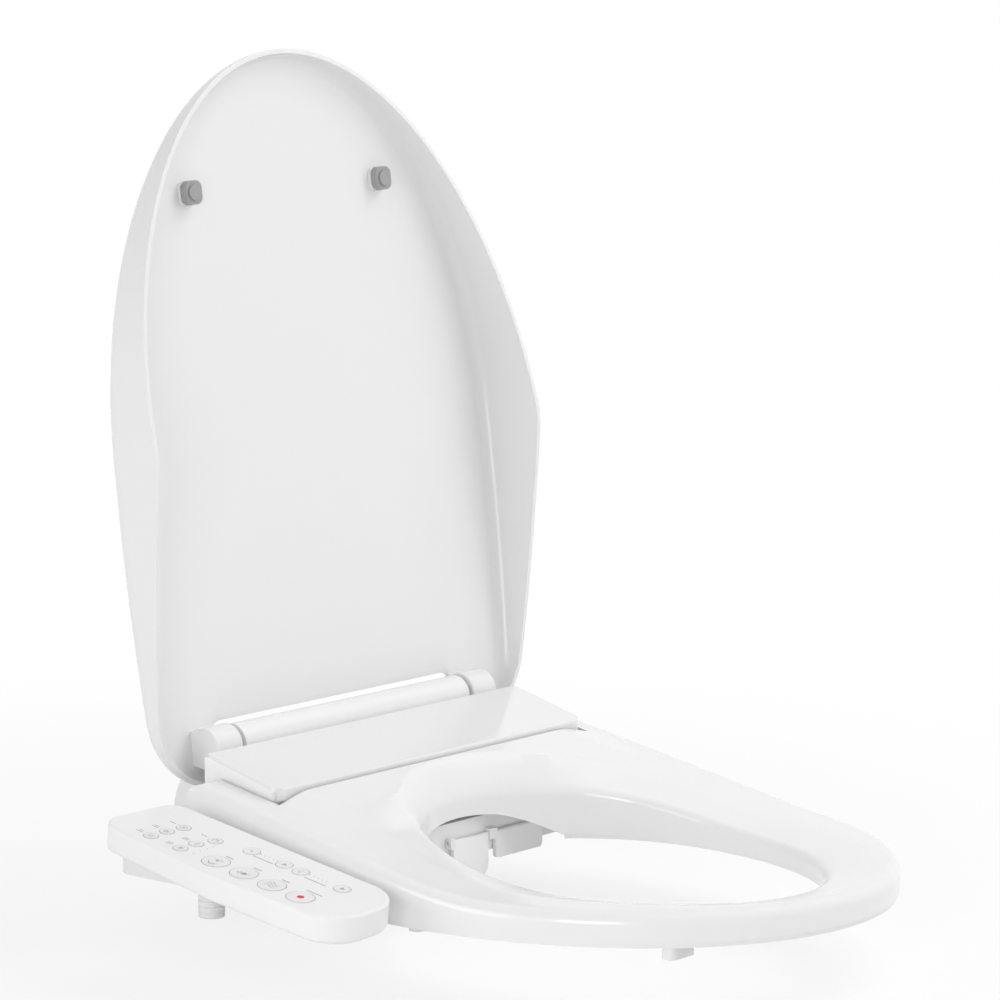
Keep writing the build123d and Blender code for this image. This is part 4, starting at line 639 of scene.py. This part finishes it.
seat = mesh_object("seat", seat_mesh(), seat_white)
underside = prism("underside", [
    (SEAT_STEP_FRONT, BELOW_SEAT),
    (SEAT_STEP_FRONT, SEAT_SEAM),
    (SEAT_STEP_REAR, SEAT_STEP_Z),
    (COVER_FRONT, SEAT_STEP_Z + SEAT_STEP_CLIMB),
    (PIVOT_Y, PIVOT_Z - ARM_RADIUS),
    (FAR, PIVOT_Z - ARM_RADIUS),
    (FAR, BELOW_SEAT),
], FAR)
bay_radius = hypot(COVER_FRONT - PIVOT_Y, COVER_FRONT_Z - PIVOT_Z) + BRIDGE_GAP
bay_turns = [pi * i / BAY_STEPS for i in range(BAY_STEPS + 1)]
bay_arc = [(PIVOT_Y - bay_radius * sin(a), PIVOT_Z - bay_radius * cos(a)) for a in bay_turns]
bay = prism("bay", [(FAR, -FAR), (PIVOT_Y, -FAR)] + bay_arc + [(FAR, FAR)], ARM_INNER)
end_arc = arc_points((PIVOT_Y, PIVOT_Z), ARM_RADIUS, -pi / 2, pi / 2, ARM_END_STEPS)
end_low = [(FAR, -FAR), (PIVOT_Y, -FAR), (PIVOT_Y, PIVOT_Z - ARM_RADIUS)]
arm_ends = prism("arm_ends", end_low + end_arc[1:] + [(PIVOT_Y, FAR), (FAR, FAR)], FAR)
cut_away(seat, [underside, bay, arm_ends])
smooth_by_angle(seat.data, SEAT_CREASE)
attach(seat, "seat")
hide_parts("seat_top")


# Moulded pieces that keep their solids' shape, with merged corners and smooth shading
MERGE_REACH = 1e-6
FLAT_WITHIN = 0.5


def refine(node, body, material, cutters=()):
    """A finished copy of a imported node, with what the cutters hold taken off."""
    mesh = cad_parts[node].data.copy()
    work = bmesh.new()
    work.from_mesh(mesh)
    bmesh.ops.remove_doubles(work, verts=work.verts, dist=MERGE_REACH)
    bmesh.ops.dissolve_limit(work, angle_limit=radians(FLAT_WITHIN), verts=work.verts, edges=work.edges)
    work.to_mesh(mesh)
    work.free()
    piece = mesh_object(node + "_skin", mesh, material)
    if cutters:
        cut_away(piece, cutters)
    smooth_by_angle(piece.data, MOULD_CREASE)
    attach(piece, body)
    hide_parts(node)


refine("base_upper", "base", base_white)
refine("base_lower", "base", base_white)
refine("top_cover", "base", cover_white)
refine("panel_upper", "base", panel_white)
refine("panel_lower", "base", panel_white)
refine("seat_bottom", "seat", seat_white)
refine("nozzle_gate", "gate", flap_white)
refine("dryer_flap", "flap", flap_white)
refine("release_button", "release", base_white)
refine("lid_bumper_posts", "lid", lid_white)
refine("lid_bumper_tips", "lid", tip_rubber)
refine("seat_bumpers", "seat", pad_rubber)
refine("nozzle_wand", "nozzle", nozzle_white)
refine("mounting_plate", "base", plate_grey)
refine("water_inlet", "base", inlet_white)
refine("cord_gland", "base", damper_black)

# Panel arm: trimmed to the stretch between the base and the panel, so that the panel hides it from the front
ARM_KEPT_TO = -0.200
ARM_KEPT_BEHIND = -0.056
refine("panel_arm", "base", base_white, [
    block("arm_outside", (-FAR, -FAR, -FAR), (ARM_KEPT_TO, FAR, FAR)),
    block("arm_rear", (-FAR, ARM_KEPT_BEHIND, -FAR), (-SHOULDER_HALF, FAR, FAR)),
])

# Panel foot: a ribbed rubber peg
FOOT_PLACE = (-0.214, -0.112)
FOOT_RADIUS = 0.0085
FOOT_RIB = 0.0006
FOOT_TOP = 0.0345
FOOT_RIBS = 9
FOOT_RIB_SHARE = 0.7
foot_profile = [(0.0, 0.0), (FOOT_RADIUS - FOOT_RIB, 0.0)]
for i in range(FOOT_RIBS):
    low = FOOT_RIB + (FOOT_TOP - FOOT_RIB) * i / FOOT_RIBS
    high = FOOT_RIB + (FOOT_TOP - FOOT_RIB) * (i + FOOT_RIB_SHARE) / FOOT_RIBS
    groove = (FOOT_RADIUS - FOOT_RIB, high + FOOT_RIB / 2)
    foot_profile += [(FOOT_RADIUS, low), (FOOT_RADIUS, high), groove]
foot_profile.append((0.0, FOOT_TOP))
foot = mesh_object("panel_foot_skin", lathe_mesh("panel_foot_skin", FOOT_PLACE, foot_profile), pad_rubber)
smooth_by_angle(foot.data, FOOT_CREASE)
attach(foot, "base")
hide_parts("panel_foot")

# Inner pieces keep their solids and get finishes
for node, finish in {
    "seat_heater_film": film_amber,
    "lid_damper": inlet_white,
    "lid_hinge_pin": pin_steel,
    "seat_damper": damper_black,
    "seat_hinge_pin": pin_steel,
    "nozzle_pinion": inlet_white,
    "nozzle_motor": motor_metal,
    "nozzle_cradle": inlet_white,
    "fan_housing": damper_black,
    "fan_impeller": damper_black,
    "dryer_duct": inlet_white,
    "dryer_heater": motor_metal,
    "water_heater": tank_cream,
    "main_board": board_green,
    "transformer": motor_metal,
    "inlet_valve": inlet_white,
    "panel_board": board_green,
}.items():
    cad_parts[node].material_slots[0].material = finish

# Control panel, in its own plane: along towards the front, across towards the seat
PANEL_ORIGIN = Vector((-0.229, -0.1575, 0.046))
PANEL_FALL = radians(9.3)
PANEL_TILT = radians(3.5)
PANEL_ALONG = Vector((0, -cos(PANEL_FALL), -sin(PANEL_FALL)))
PANEL_NORMAL = Vector((
    -sin(PANEL_TILT),
    -sin(PANEL_FALL) * cos(PANEL_TILT),
    cos(PANEL_FALL) * cos(PANEL_TILT),
))
PANEL_ACROSS = PANEL_NORMAL.cross(PANEL_ALONG)
PANEL_TURN = Matrix((PANEL_ALONG, PANEL_ACROSS, PANEL_NORMAL)).transposed().to_euler()
KEY_PROUD = 0.0002
WASH_KEY = 0.0088
SETTING_KEY = 0.0053
COMFORT_KEY = 0.0046
KEYS = {
    "wash_rear": (-0.010, -0.0175, WASH_KEY),
    "wash_front": (0.014, -0.0175, WASH_KEY),
    "dry": (0.038, -0.0175, WASH_KEY),
    "stop": (0.062, -0.0175, WASH_KEY),
    "pressure_less": (-0.008, 0.0125, SETTING_KEY),
    "pressure_more": (0.020, 0.0125, SETTING_KEY),
    "nozzle_back": (0.034, 0.0125, SETTING_KEY),
    "nozzle_front": (0.069, 0.0125, SETTING_KEY),
    "seat_heat": (-0.065, -0.0195, COMFORT_KEY),
    "water_heat": (-0.064, -0.0065, COMFORT_KEY),
    "air_heat": (-0.062, 0.0065, COMFORT_KEY),
    "light": (-0.039, -0.0195, COMFORT_KEY),
    "saving": (-0.038, -0.0065, COMFORT_KEY),
    "power": (-0.034, 0.0065, COMFORT_KEY),
}


def on_panel(along, across, height=0.0):
    """A point of the control panel's face in the frame of the whole part."""
    return PANEL_ORIGIN + PANEL_ALONG * along + PANEL_ACROSS * across + PANEL_NORMAL * height


RING_STEPS = 64
RING_SECTION = 8
DOT_SEGMENTS = 20
DOT_RINGS = 10


def repeat_maker(name, shape):
    """Nodes that set a small shape at every marked point: a thin ring, a round dot or a flat bar."""
    group = bpy.data.node_groups.new(name, "GeometryNodeTree")
    face = group.interface
    face.new_socket("Geometry", in_out="INPUT", socket_type="NodeSocketGeometry")
    face.new_socket("Turn", in_out="INPUT", socket_type="NodeSocketRotation")
    face.new_socket("Thickness", in_out="INPUT", socket_type="NodeSocketFloat")
    face.new_socket("Finish", in_out="INPUT", socket_type="NodeSocketMaterial")
    face.new_socket("Geometry", in_out="OUTPUT", socket_type="NodeSocketGeometry")
    nodes, links = group.nodes, group.links
    given = nodes.new("NodeGroupInput")
    result = nodes.new("NodeGroupOutput")
    size = nodes.new("GeometryNodeInputNamedAttribute")
    size.data_type = "FLOAT_VECTOR"
    size.inputs["Name"].default_value = "size"
    scatter = nodes.new("GeometryNodeInstanceOnPoints")
    real = nodes.new("GeometryNodeRealizeInstances")
    finish = nodes.new("GeometryNodeSetMaterial")
    links.new(given.outputs["Geometry"], scatter.inputs["Points"])
    links.new(given.outputs["Turn"], scatter.inputs["Rotation"])
    links.new(size.outputs["Attribute"], scatter.inputs["Scale"])
    links.new(scatter.outputs["Instances"], real.inputs["Geometry"])
    if shape == "ring":
        circle = nodes.new("GeometryNodeCurvePrimitiveCircle")
        circle.inputs["Resolution"].default_value = RING_STEPS
        circle.inputs["Radius"].default_value = 1.0
        wire = nodes.new("GeometryNodeCurvePrimitiveCircle")
        wire.inputs["Resolution"].default_value = RING_SECTION
        tube = nodes.new("GeometryNodeCurveToMesh")
        links.new(circle.outputs["Curve"], scatter.inputs["Instance"])
        links.new(given.outputs["Thickness"], wire.inputs["Radius"])
        links.new(real.outputs["Geometry"], tube.inputs["Curve"])
        links.new(wire.outputs["Curve"], tube.inputs["Profile Curve"])
        made = tube.outputs["Mesh"]
    else:
        if shape == "dot":
            solid = nodes.new("GeometryNodeMeshUVSphere")
            solid.inputs["Segments"].default_value = DOT_SEGMENTS
            solid.inputs["Rings"].default_value = DOT_RINGS
            solid.inputs["Radius"].default_value = 0.5
        else:
            solid = nodes.new("GeometryNodeMeshCube")
            solid.inputs["Size"].default_value = (1, 1, 1)
        links.new(solid.outputs["Mesh"], scatter.inputs["Instance"])
        made = real.outputs["Geometry"]
    links.new(made, finish.inputs["Geometry"])
    links.new(given.outputs["Finish"], finish.inputs["Material"])
    links.new(finish.outputs["Geometry"], result.inputs["Geometry"])
    return group


def panel_marks(name, shape, spots, thickness, material):
    """Marks printed on the panel: spots are along, across and the mark's length, width and height."""
    mesh = bpy.data.meshes.new(name)
    mesh.from_pydata([on_panel(along, across) for along, across, _ in spots], [], [])
    sizes = mesh.attributes.new("size", "FLOAT_VECTOR", "POINT")
    for i, (_, _, size) in enumerate(spots):
        sizes.data[i].vector = size
    piece = mesh_object(name, mesh, material)
    maker = piece.modifiers.new("marks", "NODES")
    maker.node_group = repeat_maker(name, shape)
    inputs = [s for s in maker.node_group.interface.items_tree if s.in_out == "INPUT"]
    sockets = {s.name: s.identifier for s in inputs}
    maker[sockets["Turn"]] = PANEL_TURN
    maker[sockets["Thickness"]] = thickness
    maker[sockets["Finish"]] = material
    settle(piece)
    smooth_by_angle(piece.data, MARK_CREASE)
    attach(piece, "base")


RING_GAP = 0.0004
RING_WIRE = 0.00011
panel_marks("key_rings", "ring", [
    (along, across, (radius + RING_GAP,) * 3) for along, across, radius in KEYS.values()
], RING_WIRE, print_grey)

LAMP = (0.0009, 0.0009, 0.0004)
LAMP_PITCH = 0.0035
LAMP_ROW_PITCH = 0.006
LEVELS = 5
lamps = [(-0.028, -0.019 + LAMP_ROW_PITCH * i, LAMP) for i in range(4)]
lamps += [(-0.001 + LAMP_PITCH * i, 0.0135, LAMP) for i in range(LEVELS)]
lamps += [(0.041 + LAMP_PITCH * i, 0.0135, LAMP) for i in range(LEVELS)]
panel_marks("level_lamps", "dot", lamps, RING_WIRE, print_grey)

BAR_WIDTH = 0.0006
WIDE_BAR_WIDTH = 0.0007
BAR_HEIGHT = 0.0002
BAR_PAIR_HALF = 0.001
COMFORT_BAR = (0.005, BAR_WIDTH, BAR_HEIGHT)
COMFORT_BAR_SHORT = (0.0042, BAR_WIDTH, BAR_HEIGHT)
WASH_BAR = (0.0065, WIDE_BAR_WIDTH, BAR_HEIGHT)
STOP_BAR = (0.013, WIDE_BAR_WIDTH, BAR_HEIGHT)
PRESSURE_BAR = (0.017, WIDE_BAR_WIDTH, BAR_HEIGHT)
NOZZLE_BAR = (0.018, WIDE_BAR_WIDTH, BAR_HEIGHT)
WASH_BAR_ACROSS = -0.0062
SETTING_BAR_ACROSS = 0.0078
bars = []
for along, across in ((-0.0755, -0.0185), (-0.0745, -0.0055), (-0.0495, -0.0185), (-0.048, -0.0055)):
    bars.append((along, across - BAR_PAIR_HALF, COMFORT_BAR))
    bars.append((along, across + BAR_PAIR_HALF, COMFORT_BAR_SHORT))
bars += [(along, 0.0075, COMFORT_BAR) for along in (-0.0725, -0.045)]
bars += [(along, WASH_BAR_ACROSS, WASH_BAR) for along in (-0.009, 0.015, 0.039)]
bars.append((0.0630, WASH_BAR_ACROSS, STOP_BAR))
bars.append((0.006, SETTING_BAR_ACROSS, PRESSURE_BAR))
bars.append((0.0505, SETTING_BAR_ACROSS, NOZZLE_BAR))
panel_marks("print_bars", "bar", bars, RING_WIRE, print_grey)


def stroke(work, points, width, height):
    """A flat printed line through points on the panel."""
    count = len(points)
    sides = []
    for i in range(count):
        ahead = Vector(points[min(i + 1, count - 1)]) - Vector(points[max(i - 1, 0)])
        across = Vector((-ahead.y, ahead.x)).normalized() * width / 2
        here = Vector(points[i])
        sides.append([work.verts.new(on_panel(*(here + across * s), height)) for s in (1, -1)])
    for i in range(count - 1):
        work.faces.new((sides[i][0], sides[i][1], sides[i + 1][1], sides[i + 1][0]))


def blot(work, middle, radius, height, corners=24, turn=0.0):
    """A filled printed spot."""
    ring = [
        work.verts.new(on_panel(
            middle[0] + radius * cos(turn + 2 * pi * i / corners),
            middle[1] + radius * sin(turn + 2 * pi * i / corners),
            height,
        ))
        for i in range(corners)
    ]
    work.faces.new(ring)


def bow(middle, radius, start, stop, count=14):
    """Points along an arc on the panel, by angle from the along direction."""
    turns = [radians(start + (stop - start) * i / count) for i in range(count + 1)]
    return [(middle[0] + radius * cos(t), middle[1] + radius * sin(t)) for t in turns]


def ripple(start, length, swing, count=16):
    """Points along a wavy line that runs along the panel."""
    shares = [i / count for i in range(count + 1)]
    return [(start[0] + length * s, start[1] + swing * sin(2 * pi * s)) for s in shares]


SIGN_LIFT = 0.00006
SIGN_LINE = 0.00045


def key_mark(key, lines, spots, material=print_grey):
    """The sign printed on a key, made of lines and spots about the key's middle."""
    along, across, radius = KEYS[key]
    height = KEY_PROUD + SIGN_LIFT
    work = bmesh.new()
    for points in lines:
        stroke(work, [(along + radius * a, across + radius * c) for a, c in points], SIGN_LINE, height)
    for (a, c), size, corners, turn in spots:
        blot(work, (along + radius * a, across + radius * c), radius * size, height, corners, radians(turn))
    bmesh.ops.recalc_face_normals(work, faces=work.faces)
    for face in work.faces:
        if face.normal.z < 0:
            face.normal_flip()
    mesh = bpy.data.meshes.new("sign_" + key)
    work.to_mesh(mesh)
    work.free()
    piece = mesh_object("sign_" + key, mesh, material)
    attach(piece, key + "_key")


for key in KEYS:
    refine("key_" + key, key + "_key", key_white)
spray = [bow((0.0, -0.1), 0.45, 200, 340), bow((0.0, -0.3), 0.35, 200, 340)]
beams = [(cos(radians(a)), sin(radians(a))) for a in range(0, 360, 60)]
MIDDLE = (0.0, 0.0)
ARROW = (MIDDLE, 0.42, 3, 0)
key_mark("wash_rear", spray + [[(-0.45, 0.3), (0.45, 0.3)]], [((0.0, 0.12), 0.12, 16, 0)])
key_mark("wash_front", [bow((0.1, 0.15), 0.4, 180, 360)],
         [((0.1, -0.1), 0.2, 20, 0), ((-0.35, -0.2), 0.1, 16, 0)])
key_mark("dry", [ripple((-0.5, c), 1.0, 0.12) for c in (-0.28, 0.0, 0.28)], [])
key_mark("stop", [], [(MIDDLE, 0.26, 28, 0)], stop_red)
key_mark("pressure_less", [], [(MIDDLE, 0.26, 3, 180)])
key_mark("pressure_more", [], [ARROW])
key_mark("nozzle_back", [[(0.2, -0.4), (-0.3, 0.0), (0.2, 0.4)]], [])
key_mark("nozzle_front", [], [ARROW])
key_mark("seat_heat", [ripple((-0.5, c), 1.0, 0.16) for c in (-0.25, 0.2)], [])
key_mark("water_heat", [bow((0.0, 0.05), 0.42, 150, 390)], [((0.0, 0.1), 0.2, 16, 0)])
key_mark("air_heat", [bow(MIDDLE, 0.5, a, a + 70) for a in (0, 90, 180, 270)], [(MIDDLE, 0.16, 16, 0)])
key_mark("light", [[(0.3 * a, 0.3 * c), (0.55 * a, 0.55 * c)] for a, c in beams], [(MIDDLE, 0.22, 20, 0)])
key_mark("saving", [bow((-0.2, 0.0), 0.55, -50, 50), bow((0.5, 0.0), 0.55, 130, 230)], [])
key_mark("power", [bow(MIDDLE, 0.45, -60, 240), [(0.0, 0.1), (0.0, 0.6)]], [])

# Floor, light and camera
FLOOR_GLOW = 0.8
FLOOR_NEAR = 0.35
FLOOR_FAR = 0.9
FLOOR_DROP = 0.0215  # room for the nozzle to slide out above the floor
FLOOR_HALF = 8
FLOOR_TINT = 0.9
FLOOR_ROUGHNESS = 0.9
floor_corners = [(x * FLOOR_HALF, y * FLOOR_HALF, 0) for x, y in ((-1, -1), (1, -1), (1, 1), (-1, 1))]
floor_mesh = bpy.data.meshes.new("floor")
floor_mesh.from_pydata(floor_corners, [], [(0, 1, 2, 3)])
floor_mesh.transform(Matrix.Translation((0, 0, cad_box[0][2] - FLOOR_DROP)))
floor_white = bpy.data.materials.new("floor_white")
floor_white.use_nodes = True
tree = floor_white.node_tree
ground = tree.nodes["Principled BSDF"]
ground.inputs["Base Color"].default_value = (FLOOR_TINT, FLOOR_TINT, FLOOR_TINT, 1)
ground.inputs["Roughness"].default_value = FLOOR_ROUGHNESS
glow = tree.nodes.new("ShaderNodeEmission")
glow.inputs["Color"].default_value = (1, 1, 1, 1)
rays = tree.nodes.new("ShaderNodeLightPath")
seen = tree.nodes.new("ShaderNodeMath")
seen.operation = "MAXIMUM"
share = tree.nodes.new("ShaderNodeMath")
share.operation = "MULTIPLY"
spot = tree.nodes.new("ShaderNodeTexCoord")
reach = tree.nodes.new("ShaderNodeVectorMath")
reach.operation = "LENGTH"
fade = tree.nodes.new("ShaderNodeMapRange")
fade.interpolation_type = "SMOOTHSTEP"
fade.inputs["From Min"].default_value = FLOOR_NEAR
fade.inputs["From Max"].default_value = FLOOR_FAR
fade.inputs["To Min"].default_value = FLOOR_GLOW
fade.inputs["To Max"].default_value = 1.0
tree.links.new(spot.outputs["Object"], reach.inputs[0])
tree.links.new(reach.outputs["Value"], fade.inputs["Value"])
tree.links.new(fade.outputs["Result"], share.inputs[1])
mix = tree.nodes.new("ShaderNodeMixShader")
tree.links.new(rays.outputs["Is Camera Ray"], seen.inputs[0])
tree.links.new(rays.outputs["Is Glossy Ray"], seen.inputs[1])
tree.links.new(seen.outputs[0], share.inputs[0])
tree.links.new(share.outputs[0], mix.inputs["Fac"])
tree.links.new(ground.outputs[0], mix.inputs[1])
tree.links.new(glow.outputs[0], mix.inputs[2])
tree.links.new(mix.outputs[0], tree.nodes["Material Output"].inputs["Surface"])
floor = mesh_object("floor", floor_mesh, floor_white)

# Studio surround: white where it is seen or mirrored, and a soft fill for the rest
FILL = 0.4
world = bpy.data.worlds.new("studio")
bpy.context.scene.world = world
world.use_nodes = True
sky = world.node_tree
back = sky.nodes["Background"]
back.inputs["Color"].default_value = (1, 1, 1, 1)
rays = sky.nodes.new("ShaderNodeLightPath")
level = sky.nodes.new("ShaderNodeMapRange")
level.inputs["To Min"].default_value = FILL
level.inputs["To Max"].default_value = 1.0
shown = sky.nodes.new("ShaderNodeMath")
shown.operation = "MAXIMUM"
sky.links.new(rays.outputs["Is Camera Ray"], shown.inputs[0])
sky.links.new(rays.outputs["Is Glossy Ray"], shown.inputs[1])
sky.links.new(shown.outputs[0], level.inputs["Value"])
sky.links.new(level.outputs["Result"], back.inputs["Strength"])


def soft_light(name, place, aim, size, power, spread=180.0, mirrored=True):
    """A large square lamp turned to a point, which glossy pieces may mirror or not."""
    data = bpy.data.lights.new(name, "AREA")
    data.size = size
    data.energy = power
    data.spread = radians(spread)
    lamp = bpy.data.objects.new(name, data)
    lamp.visible_glossy = mirrored
    lamp.location = place
    lamp.rotation_euler = (Vector(aim) - Vector(place)).to_track_quat("-Z", "Y").to_euler()
    bpy.context.scene.collection.objects.link(lamp)


soft_light("upper_right", place=(1.2, -0.6, 2.0), aim=(0, -0.2, 0), size=1.6, power=23.5, mirrored=False)
soft_light("upper_left", place=(-1.4, -1.1, 1.9), aim=(-0.15, -0.25, 0), size=1.0, power=2.2, mirrored=False)
soft_light("key", place=(1.3, -2.4, 1.5), aim=(0, -0.1, 0.25), size=1.6, power=21, mirrored=False)
soft_light("front", place=(-2.3, -1.3, 0.6), aim=(0, -0.2, 0.1), size=0.9, power=10.5)
soft_light("low_front", place=(-2.55, -1.1, 0.45), aim=(-0.08, -0.32, -0.08), size=0.5, power=0.05, spread=14)
soft_light("side", place=(-2.2, 0.35, 0.6), aim=(-0.1, -0.1, 0.2), size=1.3, power=12)

YAW = radians(-50.0)
PITCH = radians(8.2)
CAMERA_PLACE = (-2.0918, -1.9257, 0.6414)
CAMERA_LENS = 151.87
CAMERA_SENSOR = 36.0
camera_data = bpy.data.cameras.new("camera")
camera_data.sensor_width = CAMERA_SENSOR
camera_data.sensor_fit = "HORIZONTAL"
camera_data.lens = CAMERA_LENS
camera = bpy.data.objects.new("camera", camera_data)
backward = Vector((sin(YAW) * cos(PITCH), -cos(YAW) * cos(PITCH), sin(PITCH)))
right = Vector((cos(YAW), sin(YAW), 0))
upward = backward.cross(right)
turn = Matrix((right, upward, backward)).transposed().to_4x4()
camera.matrix_world = Matrix.Translation(CAMERA_PLACE) @ turn
bpy.context.scene.collection.objects.link(camera)
bpy.context.scene.camera = camera
bpy.context.scene.view_settings.view_transform = "Standard"
